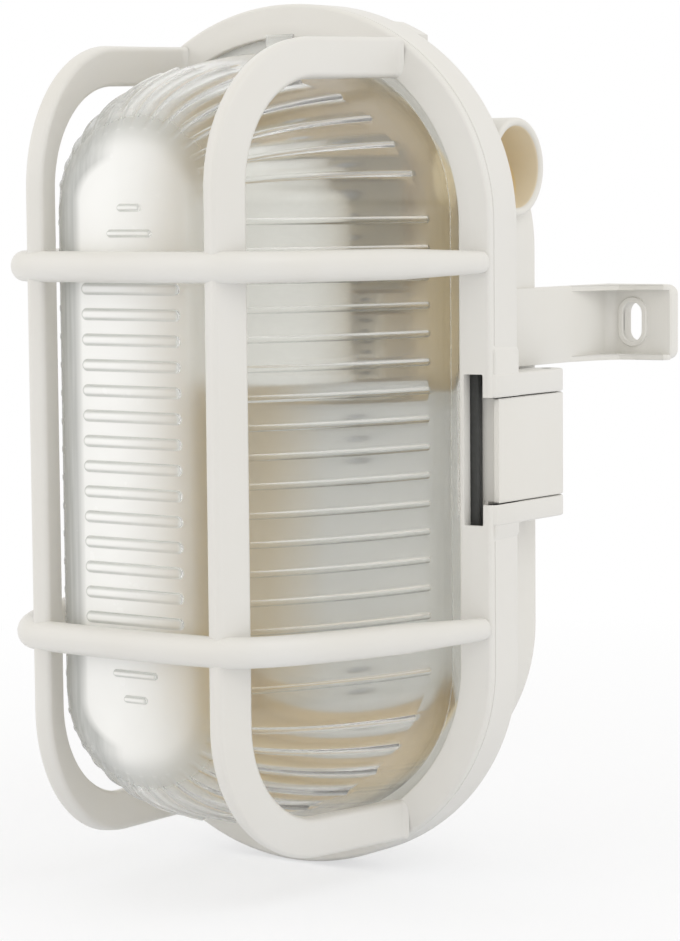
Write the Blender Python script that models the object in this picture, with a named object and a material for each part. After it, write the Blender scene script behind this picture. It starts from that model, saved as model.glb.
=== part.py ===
"""Oval wall light: a moulded base on two stand-off feet and a hinged guard with a clear, ribbed diffuser.

Metres, +Z up. X runs across the light, -Y faces the room and the wall is the plane Y = 0.
The origin lies on the wall, level with the middle of the light.
"""

from math import atan2, cos, pi, radians, sin, sqrt

import bmesh
import bpy
from mathutils import Matrix, Vector

# Fits
GAP = 0.0003
HOLE_CLEARANCE = 0.0003
CORNER_STEPS = 11

# Base
WALL_TO_BASE = 0.0370
BASE_DEPTH = 0.0307
BASE_HALF_WIDTH = 0.0506
BASE_HALF_HEIGHT = 0.0934
BASE_CORNER = 0.0470
BASE_WALL = 0.0025
BASE_DRAFT = 0.0005
BASE_BACK_RADIUS = 0.0020
BASE_FLANGE_THICKNESS = 0.0025

# Opening of the guard ring, which the diffuser looks through, beside the outside of the base
OPENING_SIDE_MARGIN = 0.0002
OPENING_END_MARGIN = 0.0046
OPENING_CORNER_MARGIN = 0.0015

# Sealing stack between the base and the guard
GASKET_THICKNESS = 0.0021
GASKET_START = 0.0005
GASKET_WIDTH = 0.0037
RIM_THICKNESS = 0.0012
RIM_REACH = 0.0035

# Guard ring
GUARD_WALL = 0.0016
GUARD_FACE_WIDTH = 0.0070
GUARD_FACE_FALL = 0.0011
GUARD_SHOULDER = 0.0012
SKIRT_WALL = 0.0020
SKIRT_DEPTH = 0.0130
SKIRT_DRAFT = 0.0002

# Small tabs that stand back from the skirt, one by each diagonal
TAB_OFFSET = 0.0275
TAB_WIDTH = 0.0070
TAB_REACH = 0.0050

# Upright bars of the guard
UPRIGHT_PANEL_MARGIN = 0.0100
UPRIGHT_ROOT_SPREAD = 0.0106
UPRIGHT_SETBACK = 0.0006
UPRIGHT_INSET = 0.0059
UPRIGHT_DROP = 0.0010
UPRIGHT_BEND = 0.0300
UPRIGHT_DEPTH = 0.0096
UPRIGHT_THICKNESS = 0.0044
UPRIGHT_LEAN = 20.0
UPRIGHT_EDGE = 0.0013

# Cross bars of the guard
CROSS_HEIGHT = 0.0435
CROSS_CLEARANCE = 0.0040
CROSS_ROOT = 0.0068
CROSS_SIDE_INSET = 0.0008
CROSS_SIDE_REACH = 0.0240
CROSS_CORNER_INSET = 0.0113
CROSS_CORNER_SETBACK = 0.0039
CROSS_SHOULDER_INSET = 0.0238
CROSS_SHOULDER_SETBACK = 0.0016
CROSS_SHOULDER_SHARE = 0.7
CROSS_BAR_HEIGHT = 0.0072
CROSS_BAR_DEPTH = 0.0064
CROSS_ROOT_TAPER = 0.72

# Diffuser; its depths run from 0 at the rim to 1 at the front panel
DIFFUSER_DEPTH = 0.0602
DIFFUSER_DEPTHS = (0.12, 0.28, 0.44, 0.59, 0.73, 0.86, 0.93)
DIFFUSER_INNER_DEPTHS = (0.0, 0.28, 0.52, 0.73, 0.90, 1.0)
DIFFUSER_WALL = 0.0020
DIFFUSER_SIDE_CLEARANCE = 0.0033
DIFFUSER_END_CLEARANCE = 0.0030
DIFFUSER_SHOULDER_DROP = 0.0025
DIFFUSER_SIDE_BULGE_INSET = 0.0025
DIFFUSER_SIDE_EDGE_INSET = 0.0195
DIFFUSER_SIDE_PANEL_INSET = 0.0305
DIFFUSER_END_BULGE_INSET = 0.0020
DIFFUSER_END_EDGE_INSET = 0.0090
DIFFUSER_END_PANEL_INSET = 0.0250
DIFFUSER_STRAIGHT_GAIN = 0.0080
DIFFUSER_BULGE_DEPTH = 0.0250
LATCHING_LUG_LENGTH = 0.0080
LATCHING_LUG_THICKNESS = 0.0010
LATCHING_LUG_CATCH = 0.0007

# Ribs of the diffuser; their sections sit between the rings of its shell
DEPTH_OFFSET = -0.025
DEPTH_STEP = 0.001
SIDE_RIB_PITCH = 0.0067
END_RIB_COUNT = 7
END_RIB_START = 13.5
END_RIB_SETBACKS = (20.0, 50.0)
RIB_WIDTH = 0.0014
RIB_HEIGHT = 0.0008
PANEL_RIB_PITCH = 0.0059
PANEL_RIB_COUNT = 14
PANEL_RIB_LENGTH = 0.0288
PANEL_RIB_WIDTH = 0.0026
PANEL_RIB_HEIGHT = 0.0006
MARK_RIB_LENGTHS = (0.0130, 0.0068)
MARK_RIB_HEIGHTS = (0.0511, 0.0570)
MARK_RIB_WIDTH = 0.0016
RIB_ROOT = 0.0005

# Hinge on the +X side
KNUCKLE_TOP = 0.0112
KNUCKLE_BOTTOM = -0.0137
UPPER_EAR_HEIGHT = 0.0055
LOWER_EAR_HEIGHT = 0.0050
EAR_THICKNESS = 0.0080
HINGE_PIN_BACK = 0.0049
PIN_RADIUS = 0.0015
KNUCKLE_LIP = 0.0020
KNUCKLE_LIP_REACH = 0.0020
PAD_REACH = 0.0008
PAD_MARGIN = 0.0060
WINDOW_LIP_THICKNESS = 0.0008

# Closing screw on the -X side
CLOSING_OFFSET = 0.0033
CLOSING_LUG_RADIUS = 0.0045
CLOSING_POST_DEPTH = 0.0110
CLOSING_SCREW_RADIUS = 0.0020
CLOSING_SCREW_LENGTH = 0.0165
CLOSING_HEAD_RADIUS = 0.0036
CLOSING_HEAD_HEIGHT = 0.0024
INSERT_WALL = 0.0010
INSERT_LENGTH = 0.0080
SLOT_WIDTH = 0.0010
SLOT_DEPTH = 0.0011

# Cable entries
ENTRY_FROM_END = 0.0274
ENTRY_SETBACK = 0.0192
ENTRY_OUTER_RADIUS = 0.0119
ENTRY_BORE_RADIUS = 0.0098
ENTRY_REACH = 0.0018
ENTRY_MEMBRANE = 0.0012

# Feet
FOOT_HEIGHT = 0.0270
FOOT_WIDTH = 0.0190
FOOT_ARM_THICKNESS = 0.0030
FOOT_ARM_PROUD = 0.0012
FOOT_ROOT_LENGTH = 0.0135
FOOT_FLANGE_THICKNESS = 0.0040
FOOT_FLANGE_REACH = 0.0180
FOOT_SLOT_OFFSET = 0.0070
FOOT_SLOT_WIDTH = 0.0055
FOOT_SLOT_HEIGHT = 0.0100
FOOT_RIM_WIDTH = 0.0013
FOOT_RIM_HEIGHT = 0.0006
FOOT_WEB_THICKNESS = 0.0014
FOOT_WEB_LENGTH = 0.0200
FOOT_WEB_RISE = 0.0022

# Lampholder, hanging in the upper half with its mouth down
LAMP_AXIS_FORWARD = 0.0050
HOLDER_FROM_END = 0.0229
HOLDER_LENGTH = 0.0565
HOLDER_RADIUS = 0.0190
HOLDER_NECK_RADIUS = 0.0140
HOLDER_NECK_LENGTH = 0.0060
HOLDER_SHOULDER = 0.0080
HOLDER_LIP = 0.0010
HOLDER_LIP_HEIGHT = 0.0040
SOCKET_RADIUS = 0.0150
SOCKET_DEPTH = 0.0300
SHELL_WALL = 0.0009
SHELL_SETBACK = 0.0045
SHELL_WAVE = 0.0005
SHELL_WAVES = 3
CONTACT_WIDTH = 0.0060
CONTACT_LENGTH = 0.0160
CONTACT_THICKNESS = 0.0008
CONTACT_RISE = 0.0034

# Bracket that carries the lampholder
BRACKET_WIDTH = 0.0340
BRACKET_THICKNESS = 0.0015
BRACKET_FOOT_LENGTH = 0.0340
BRACKET_ARM_PAST_AXIS = 0.0130
BRACKET_BEND = 0.0030
POST_RADIUS = 0.0040
POST_LENGTH = 0.0050
BRACKET_SCREW_SPACING = 0.0160
HOLDER_SCREW_SPACING = 0.0160

# Screws used inside
SCREW_RADIUS = 0.0016
SCREW_HEAD_RADIUS = 0.0032
SCREW_HEAD_HEIGHT = 0.0020
SCREW_BITE = 0.0040

# Reflector plate over the floor of the lower half
REFLECTOR_THICKNESS = 0.0008
REFLECTOR_END_CLEARANCE = 0.0154
REFLECTOR_SIDE_CLEARANCE = 0.0136
REFLECTOR_LIP = 0.0045
REFLECTOR_LIFT = 0.0030
REFLECTOR_SCREW_INSET = 0.0140
REFLECTOR_POST_RADIUS = 0.0036

# Mains terminals, behind the lampholder
TERMINAL_PITCH = 0.0100
TERMINAL_COUNT = 3
TERMINAL_LENGTH = 0.0200
TERMINAL_MARGIN = 0.0035
TERMINAL_DEPTH = 0.0140
TERMINAL_WALL = 0.0012
TERMINAL_BORE_RADIUS = 0.0030
CLAMP_WALL = 0.0010
CLAMP_LENGTH = 0.0160
TERMINAL_SCREW_RADIUS = 0.0012
TERMINAL_SCREW_OFFSET = 0.0048
WELL_RADIUS = 0.0020

# Finishes: colour, roughness, metallic and, where it is clear, alpha
IVORY = ((0.79, 0.77, 0.70), 0.45)
RUBBER = ((0.02, 0.02, 0.02), 0.8)
CLEAR = ((0.93, 0.95, 0.94), 0.08, 0.0, 0.3)
STEEL = ((0.62, 0.62, 0.60), 0.35, 1.0)
BRASS = ((0.78, 0.60, 0.27), 0.35, 1.0)
ZINC = ((0.66, 0.67, 0.68), 0.4, 1.0)
ALUMINIUM = ((0.80, 0.81, 0.82), 0.3, 1.0)
PORCELAIN = ((0.83, 0.83, 0.80), 0.2)
NYLON = ((0.85, 0.84, 0.80), 0.5)

# Sizes and levels worked out from those above
OPENING_HALF_WIDTH = BASE_HALF_WIDTH + OPENING_SIDE_MARGIN
OPENING_HALF_HEIGHT = BASE_HALF_HEIGHT + OPENING_END_MARGIN
OPENING_CORNER = BASE_CORNER - OPENING_CORNER_MARGIN
DIFFUSER_HALF_WIDTH = OPENING_HALF_WIDTH - DIFFUSER_SIDE_CLEARANCE
DIFFUSER_HALF_HEIGHT = OPENING_HALF_HEIGHT - DIFFUSER_END_CLEARANCE
DIFFUSER_STRAIGHT = OPENING_HALF_HEIGHT - OPENING_CORNER - DIFFUSER_SHOULDER_DROP
UPRIGHT_SPACING = 2 * (DIFFUSER_HALF_WIDTH - DIFFUSER_SIDE_PANEL_INSET + UPRIGHT_PANEL_MARGIN)
UPRIGHT_REACH = DIFFUSER_DEPTH - UPRIGHT_SETBACK
UPRIGHT_HALF_HEIGHT = OPENING_HALF_HEIGHT - UPRIGHT_INSET
CROSS_REACH = DIFFUSER_DEPTH + CROSS_CLEARANCE
ENTRY_HEIGHT = BASE_HALF_HEIGHT - ENTRY_FROM_END
HOLDER_TOP = BASE_HALF_HEIGHT - HOLDER_FROM_END
BRACKET_FOOT_Z = HOLDER_TOP + BRACKET_THICKNESS - BRACKET_FOOT_LENGTH
TERMINAL_HEIGHT = BRACKET_FOOT_Z - TERMINAL_MARGIN - TERMINAL_LENGTH / 2
REFLECTOR_TOP = TERMINAL_HEIGHT - TERMINAL_LENGTH / 2 - TERMINAL_MARGIN
REFLECTOR_BOTTOM = REFLECTOR_END_CLEARANCE - BASE_HALF_HEIGHT
REFLECTOR_HALF_WIDTH = BASE_HALF_WIDTH - REFLECTOR_SIDE_CLEARANCE
REFLECTOR_SCREW_HEIGHTS = (REFLECTOR_TOP - REFLECTOR_SCREW_INSET, REFLECTOR_BOTTOM + REFLECTOR_SCREW_INSET)
CLOSING_SCREW_SIZE = (CLOSING_SCREW_RADIUS, CLOSING_HEAD_RADIUS, CLOSING_HEAD_HEIGHT)
INNER_SCREW_SIZE = (SCREW_RADIUS, SCREW_HEAD_RADIUS, SCREW_HEAD_HEIGHT)
BASE_BACK_Y = -WALL_TO_BASE
BASE_RIM_Y = BASE_BACK_Y - BASE_DEPTH
BASE_FLOOR_Y = BASE_BACK_Y - BASE_WALL
GASKET_BACK_Y = BASE_RIM_Y - GAP
GASKET_FRONT_Y = GASKET_BACK_Y - GASKET_THICKNESS
RIM_BACK_Y = GASKET_FRONT_Y - GAP
RIM_FRONT_Y = RIM_BACK_Y - RIM_THICKNESS
GUARD_Y = RIM_FRONT_Y - GAP
GUARD_FRONT_Y = GUARD_Y - GUARD_WALL
SKIRT_BACK_Y = GUARD_FRONT_Y + SKIRT_DEPTH
SKIRT_OFFSET = GUARD_FACE_WIDTH + GUARD_SHOULDER + SKIRT_DRAFT
GUARD_HALF_WIDTH = OPENING_HALF_WIDTH + SKIRT_OFFSET
EAR_OUTER_X = GUARD_HALF_WIDTH + PAD_REACH
HINGE_X = EAR_OUTER_X - EAR_THICKNESS / 2
HINGE_Y = BASE_BACK_Y - HINGE_PIN_BACK
EAR_TOP = KNUCKLE_TOP + GAP + UPPER_EAR_HEIGHT
EAR_BOTTOM = KNUCKLE_BOTTOM - GAP - LOWER_EAR_HEIGHT
WINDOW_X = OPENING_HALF_WIDTH + GUARD_WALL * 0.8
CLOSING_X = -(GUARD_HALF_WIDTH + CLOSING_OFFSET)
LAMP_Y = GUARD_FRONT_Y - LAMP_AXIS_FORWARD


def clear_scene():
    """Removes every object that is already in the scene."""
    for old in list(bpy.data.objects):
        bpy.data.objects.remove(old, do_unlink=True)


def make_material(name, colour, roughness, metallic=0.0, alpha=1.0):
    """A Principled material in one colour."""
    material = bpy.data.materials.new(name)
    material.use_nodes = True
    shader = material.node_tree.nodes["Principled BSDF"]
    shader.inputs["Base Color"].default_value = (*colour, 1.0)
    shader.inputs["Roughness"].default_value = roughness
    shader.inputs["Metallic"].default_value = metallic
    shader.inputs["Alpha"].default_value = alpha
    return material


def make_object(name, mesh_builder, material=None, sharp_angle=35.0):
    """Turns a bmesh into an object with outward faces and smooth shading."""
    bmesh.ops.recalc_face_normals(mesh_builder, faces=mesh_builder.faces)
    mesh = bpy.data.meshes.new(name)
    mesh_builder.to_mesh(mesh)
    mesh_builder.free()
    mesh.shade_smooth()
    mesh.set_sharp_from_angle(angle=radians(sharp_angle))
    thing = bpy.data.objects.new(name, mesh)
    bpy.context.scene.collection.objects.link(thing)
    if material:
        mesh.materials.append(material)
    return thing


def combine(target, tool, operation):
    """Cuts the tool from the target or joins it on, and leaves the tool as a hidden guide."""
    tool.hide_render = True
    tool.display_type = 'WIRE'
    modifier = target.modifiers.new(f"{operation.lower()} {tool.name}", 'BOOLEAN')
    modifier.operation = operation
    modifier.object = tool
    modifier.solver = 'EXACT'


def cut(target, *tools):
    for tool in tools:
        combine(target, tool, 'DIFFERENCE')


def join(target, *tools):
    for tool in tools:
        combine(target, tool, 'UNION')


def add_loft(builder, rings, loop=False):
    """Skins rings that have equal numbers of points; a loop joins the last ring to the first."""
    skins = [[builder.verts.new(point) for point in ring] for ring in rings]
    pairs = list(zip(skins, skins[1:]))
    if loop:
        pairs.append((skins[-1], skins[0]))
    else:
        builder.faces.new(skins[0])
        builder.faces.new(skins[-1])
    for near, far in pairs:
        for a, b, c, d in zip(near, near[1:] + near[:1], far[1:] + far[:1], far):
            builder.faces.new((a, b, c, d))


def loft(rings, loop=False):
    builder = bmesh.new()
    add_loft(builder, rings, loop)
    return builder


def prism(outline, low, high, axis='Z'):
    """Extrudes an outline: (x, y) points along Z, (x, z) points along Y or (y, z) points along X."""
    place = {
        'Z': lambda a, b, level: (a, b, level),
        'Y': lambda a, b, level: (a, level, b),
        'X': lambda a, b, level: (level, a, b),
    }[axis]
    return loft([[place(a, b, level) for a, b in outline] for level in (low, high)])


def rectangle(x_low, x_high, y_low, y_high):
    return [(x_low, y_low), (x_high, y_low), (x_high, y_high), (x_low, y_high)]


def circle(x, y, radius, steps=24):
    return [(x + radius * cos(2 * pi * k / steps), y + radius * sin(2 * pi * k / steps)) for k in range(steps)]


def arc(x, y, radius, start, end, steps):
    """Points of an arc between two angles in degrees, both ends included."""
    angles = [radians(start + (end - start) * k / steps) for k in range(steps + 1)]
    return [(x + radius * cos(angle), y + radius * sin(angle)) for angle in angles]


def slot_outline(x, z, width, height, steps=6):
    """An upright slot with round ends."""
    radius = width / 2
    rise = height / 2 - radius
    return arc(x, z + rise, radius, 0, 180, steps) + arc(x, z - rise, radius, 180, 360, steps)


def turned(profile, centre, steps=32):
    """Turns a closed (radius, height) profile about the upright axis through centre, an (x, y) pair."""
    rings = []
    for radius, height in profile:
        rings.append([(x, y, height) for x, y in circle(centre[0], centre[1], radius, steps)])
    return loft(rings)


def turned_tube(profile, centre, steps=32):
    """Turns a profile that never meets the axis, so that the result has a hole through it."""
    rings = []
    for radius, height in profile:
        rings.append([(x, y, height) for x, y in circle(centre[0], centre[1], radius, steps)])
    return loft(rings, loop=True)


def bezier(start, near, far, end, t):
    """A point on a cubic curve."""
    u = 1 - t
    weights = (u ** 3, 3 * u * u * t, 3 * u * t * t, t ** 3)
    return tuple(sum(w * p for w, p in zip(weights, points)) for points in zip(start, near, far, end))


def oval(half_width, half_height, corner, y):
    """An upright oval: straight flanks that run into elliptical ends."""
    straight = half_height - corner
    quarter = [k * pi / 2 / CORNER_STEPS for k in range(CORNER_STEPS + 1)]
    upper = [(half_width * cos(t), straight + corner * sin(t)) for t in quarter]
    top = upper + [(-x, z) for x, z in upper[-2::-1]]
    return [(x, y, z) for x, z in top + [(-x, -z) for x, z in top]]


def ring_oval(offset, y):
    """An oval that runs beside the edge of the guard's opening."""
    return oval(OPENING_HALF_WIDTH + offset, OPENING_HALF_HEIGHT + offset, OPENING_CORNER + offset, y)


def ring_height(offset, x):
    """Height of the upper end of an oval beside the opening, at a distance x from the middle."""
    corner = OPENING_CORNER + offset
    return OPENING_HALF_HEIGHT - OPENING_CORNER + corner * sqrt(1 - (x / (OPENING_HALF_WIDTH + offset)) ** 2)


def base_oval(offset, y):
    return oval(BASE_HALF_WIDTH + offset, BASE_HALF_HEIGHT + offset, BASE_CORNER + offset, y)


def mirrored(outline):
    """The same outline on the other side of the light, turned half a turn about its middle."""
    return [(-a, b) for a, b in outline]


# Base housing

def foot_outline(thickness_extra=0.0):
    """Plan of one stand-off foot: an arm along the flank and a flange that turns outwards on the wall."""
    outer = BASE_HALF_WIDTH + FOOT_ARM_PROUD
    inner = outer - FOOT_ARM_THICKNESS
    front = BASE_BACK_Y - FOOT_ROOT_LENGTH
    tip = outer + FOOT_FLANGE_REACH
    flange_front = -FOOT_FLANGE_THICKNESS
    bend = arc(outer + FOOT_ARM_THICKNESS, flange_front - FOOT_ARM_THICKNESS, FOOT_ARM_THICKNESS, 180, 90, 4)
    return [(inner, front), (outer, front)] + bend + [(tip, flange_front), (tip, 0.0), (inner, 0.0)]


def foot_web_outline():
    """Plan of the thin webs that stiffen the foot along both edges of its bend."""
    outer = BASE_HALF_WIDTH + FOOT_ARM_PROUD
    tip = outer + FOOT_FLANGE_REACH
    flange_front = -FOOT_FLANGE_THICKNESS
    rise = FOOT_WEB_RISE
    knee = (outer + 2 * rise, flange_front - 2 * rise)
    return [
        (outer - GAP, flange_front - FOOT_WEB_LENGTH),
        (outer + rise * 0.6, flange_front - FOOT_WEB_LENGTH * 0.6),
        knee,
        (tip, flange_front - rise),
        (tip, flange_front + GAP),
        (outer - GAP, flange_front + GAP),
    ]


def add_foot(housing, side):
    """One stand-off foot with its slot; side is +1 or -1 and also sets whether it sits high or low."""
    name = "foot_right" if side > 0 else "foot_left"
    middle = side * FOOT_HEIGHT
    low, high = middle - FOOT_WIDTH / 2, middle + FOOT_WIDTH / 2
    turn = (lambda outline: outline) if side > 0 else mirrored
    slot_x = side * (BASE_HALF_WIDTH + FOOT_ARM_PROUD + FOOT_SLOT_OFFSET)
    foot = make_object(f"{name}_arm", prism(turn(foot_outline()), low, high))
    webs = bmesh.new()
    for bottom in (low, high - FOOT_WEB_THICKNESS):
        levels = (bottom, bottom + FOOT_WEB_THICKNESS)
        add_loft(webs, [[(x, y, z) for x, y in turn(foot_web_outline())] for z in levels])
    webs = make_object(f"{name}_webs", webs)
    rim_width = FOOT_SLOT_WIDTH + 2 * FOOT_RIM_WIDTH
    rim_height = FOOT_SLOT_HEIGHT + 2 * FOOT_RIM_WIDTH
    rim_front = -FOOT_FLANGE_THICKNESS - FOOT_RIM_HEIGHT
    rim = slot_outline(slot_x, middle, rim_width, rim_height)
    rim = make_object(f"{name}_rim", prism(rim, rim_front, -FOOT_FLANGE_THICKNESS / 2, 'Y'))
    slot = slot_outline(slot_x, middle, FOOT_SLOT_WIDTH, FOOT_SLOT_HEIGHT)
    slot = make_object(f"{name}_slot", prism(slot, rim_front - GAP, GAP, 'Y'))
    join(housing, foot, webs, rim)
    cut(housing, slot)


def base_flank(height):
    """Half-width of the base's outside at a height, at its back edge."""
    past = max(0.0, abs(height) - (BASE_HALF_HEIGHT - BASE_CORNER))
    return BASE_HALF_WIDTH * sqrt(1 - (past / BASE_CORNER) ** 2)


def add_cable_entry(housing, side):
    """A round cable entry on the flank, closed at its inner end by a thin membrane to be cut out."""
    name = "entry_right" if side > 0 else "entry_left"
    middle_y = BASE_RIM_Y + ENTRY_SETBACK
    middle_z = side * ENTRY_HEIGHT
    tip = side * (BASE_HALF_WIDTH + ENTRY_REACH)
    wall = base_flank(ENTRY_HEIGHT + ENTRY_OUTER_RADIUS) - BASE_WALL
    hub = circle(middle_y, middle_z, ENTRY_OUTER_RADIUS, 28)
    bore = circle(middle_y, middle_z, ENTRY_BORE_RADIUS, 28)
    hub = make_object(f"{name}_hub", prism(hub, side * wall, tip, 'X'))
    floor = side * (wall + ENTRY_MEMBRANE)
    bore = make_object(f"{name}_bore", prism(bore, floor, tip + side * GAP, 'X'))
    join(housing, hub)
    cut(housing, bore)


def barrel_outline(front_outline):
    """Plan of a hinge leaf: the given front, then the round barrel about the pin."""
    radius = EAR_THICKNESS / 2
    return front_outline + arc(HINGE_X, HINGE_Y, radius, 0, 180, 10)


def make_base_housing(material):
    reach = GASKET_START + GASKET_WIDTH + 0.0002
    flange_back = BASE_RIM_Y + BASE_FLANGE_THICKNESS
    back_corner = BASE_BACK_Y - BASE_BACK_RADIUS
    edge = BASE_BACK_RADIUS * (1 - sqrt(0.5))
    rings = [
        base_oval(-BASE_BACK_RADIUS, BASE_BACK_Y),
        base_oval(-edge, BASE_BACK_Y - edge),
        base_oval(0.0, back_corner),
        base_oval(BASE_DRAFT, flange_back + GAP),
        ring_oval(reach, flange_back),
        ring_oval(reach, BASE_RIM_Y),
        base_oval(BASE_DRAFT - BASE_WALL, BASE_RIM_Y),
        base_oval(-BASE_WALL, BASE_FLOOR_Y - BASE_BACK_RADIUS / 2),
        base_oval(-BASE_WALL - BASE_BACK_RADIUS / 2, BASE_FLOOR_Y),
    ]
    housing = make_object("base_housing", loft(rings), material)
    for side in (1, -1):
        add_foot(housing, side)
        add_cable_entry(housing, side)
    knuckle_front = BASE_RIM_Y - KNUCKLE_LIP_REACH
    inside = BASE_HALF_WIDTH - BASE_WALL / 2
    leaf = barrel_outline([
        (inside, HINGE_Y),
        (inside, BASE_RIM_Y),
        (EAR_OUTER_X - KNUCKLE_LIP, BASE_RIM_Y),
        (EAR_OUTER_X - KNUCKLE_LIP, knuckle_front),
        (EAR_OUTER_X, knuckle_front),
    ])
    knuckle = make_object("base_knuckle", prism(leaf, KNUCKLE_BOTTOM, KNUCKLE_TOP))
    hole = circle(HINGE_X, HINGE_Y, PIN_RADIUS + HOLE_CLEARANCE, 16)
    hole = make_object("base_pin_hole", prism(hole, KNUCKLE_BOTTOM - GAP, KNUCKLE_TOP + GAP))
    post_front = SKIRT_BACK_Y + GAP
    post_back = post_front + CLOSING_POST_DEPTH
    lug = [(-inside, -CLOSING_LUG_RADIUS), (-inside, CLOSING_LUG_RADIUS)]
    lug += arc(CLOSING_X, 0.0, CLOSING_LUG_RADIUS, 90, 270, 10)
    post = make_object("closing_post", prism(lug, post_front, post_back, 'Y'))
    insert_hole = circle(CLOSING_X, 0.0, CLOSING_SCREW_RADIUS + HOLE_CLEARANCE + INSERT_WALL + GAP, 20)
    insert_front = post_front - GAP
    insert_end = post_front + INSERT_LENGTH + GAP
    insert_hole = make_object("closing_bore", prism(insert_hole, insert_front, insert_end, 'Y'))
    tail_hole = circle(CLOSING_X, 0.0, CLOSING_SCREW_RADIUS + HOLE_CLEARANCE, 20)
    tail_hole = make_object("closing_tail_bore", prism(tail_hole, insert_front, post_back + GAP, 'Y'))
    join(housing, knuckle, post)
    cut(housing, hole, insert_hole, tail_hole)
    posts = bmesh.new()
    pilots = bmesh.new()
    for x, z, front in inner_posts():
        radius = POST_RADIUS if x == 0 and z > 0 else REFLECTOR_POST_RADIUS
        levels = (front, BASE_FLOOR_Y + BASE_WALL / 2)
        add_loft(posts, [[(a, level, b) for a, b in circle(x, z, radius, 16)] for level in levels])
        levels = (front - GAP, front + SCREW_BITE + GAP)
        pilot = circle(x, z, SCREW_RADIUS + HOLE_CLEARANCE, 12)
        add_loft(pilots, [[(a, level, b) for a, b in pilot] for level in levels])
    join(housing, make_object("inner_posts", posts))
    cut(housing, make_object("inner_pilots", pilots))
    return housing


def bracket_screw_heights():
    middle = HOLDER_TOP + BRACKET_THICKNESS - BRACKET_FOOT_LENGTH / 2
    return (middle + BRACKET_SCREW_SPACING / 2, middle - BRACKET_SCREW_SPACING / 2)


def inner_posts():
    """Places of the moulded posts inside the base: x, z and the level of the top of each."""
    tall = BASE_FLOOR_Y - REFLECTOR_LIFT
    posts = [(0.0, z, BASE_FLOOR_Y - POST_LENGTH) for z in bracket_screw_heights()]
    posts += [(0.0, z, tall) for z in REFLECTOR_SCREW_HEIGHTS]
    return posts


# Gasket

def make_gasket(material):
    start, end = GASKET_START, GASKET_START + GASKET_WIDTH
    rings = [
        ring_oval(start, GASKET_BACK_Y),
        ring_oval(end, GASKET_BACK_Y),
        ring_oval(end, GASKET_FRONT_Y),
        ring_oval(start, GASKET_FRONT_Y),
    ]
    return make_object("gasket", loft(rings, loop=True), material)


# Guard

def ring_section():
    """Section of the guard ring as (offset, y) points: a sloped face, a shoulder and a skirt."""
    front = GUARD_FRONT_Y
    shoulder = front + GUARD_FACE_FALL
    bend = GUARD_SHOULDER
    inner = SKIRT_OFFSET - SKIRT_WALL
    return [
        (0.0, GUARD_Y),
        (0.0, front + 0.0004),
        (0.0004, front),
        (GUARD_FACE_WIDTH, shoulder),
        (GUARD_FACE_WIDTH + bend * 0.7, shoulder + bend * 0.3),
        (GUARD_FACE_WIDTH + bend, shoulder + bend),
        (SKIRT_OFFSET, SKIRT_BACK_Y),
        (inner, SKIRT_BACK_Y),
        (inner - SKIRT_DRAFT, GUARD_Y),
    ]


def rounded_section(half_thickness, half_depth, edge):
    """A rectangle with rounded corners, as (across, along) pairs."""
    points = []
    corners = ((1, 1, 0), (-1, 1, 90), (-1, -1, 180), (1, -1, 270))
    for across, along, start in corners:
        centre = (across * (half_thickness - edge), along * (half_depth - edge))
        points += arc(centre[0], centre[1], edge, start, start + 90, 1)
    return points


def upright_path():
    """Centre line of an upright bar's upper half as (y, z, tangent angle) steps from its root."""
    root = GUARD_FRONT_Y + GUARD_WALL / 2
    front = GUARD_FRONT_Y - UPRIGHT_REACH
    bend_top = UPRIGHT_HALF_HEIGHT - UPRIGHT_DROP
    bend_y = front + UPRIGHT_BEND
    steps = [(root, UPRIGHT_HALF_HEIGHT, 0.0)]
    steps.append(((root + bend_y) / 2, (UPRIGHT_HALF_HEIGHT + bend_top) / 2, 0.0))
    for k in range(9):
        turn = pi / 2 * k / 8
        steps.append((bend_y - UPRIGHT_BEND * sin(turn), bend_top - UPRIGHT_BEND * (1 - cos(turn)), turn))
    return steps


def make_upright(side):
    """An upright bar: a flat strip that bows over the diffuser and leans inwards at its front."""
    front = GUARD_FRONT_Y - UPRIGHT_REACH
    upper = upright_path()
    steps = upper + [(y, -z, pi - turn) for y, z, turn in upper[::-1]]
    section = rounded_section(UPRIGHT_THICKNESS / 2, UPRIGHT_DEPTH / 2, UPRIGHT_EDGE)
    rings = []
    for y, z, turn in steps:
        forward = max(0.0, GUARD_FRONT_Y - y) / UPRIGHT_REACH
        lean = radians(UPRIGHT_LEAN) * forward ** 1.5
        x = UPRIGHT_SPACING / 2 + UPRIGHT_ROOT_SPREAD / 2 * (y - front) / UPRIGHT_REACH
        outward = Vector((-sin(lean), -sin(turn) * cos(lean), cos(turn) * cos(lean)))
        across = Vector((cos(lean), -sin(turn) * sin(lean), cos(turn) * sin(lean)))
        centre = Vector((x, y, z))
        ring = [centre + across * a + outward * b for a, b in section]
        rings.append([(side * p.x, p.y, p.z) for p in ring])
    return make_object(f"upright_{'right' if side > 0 else 'left'}", loft(rings))


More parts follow.
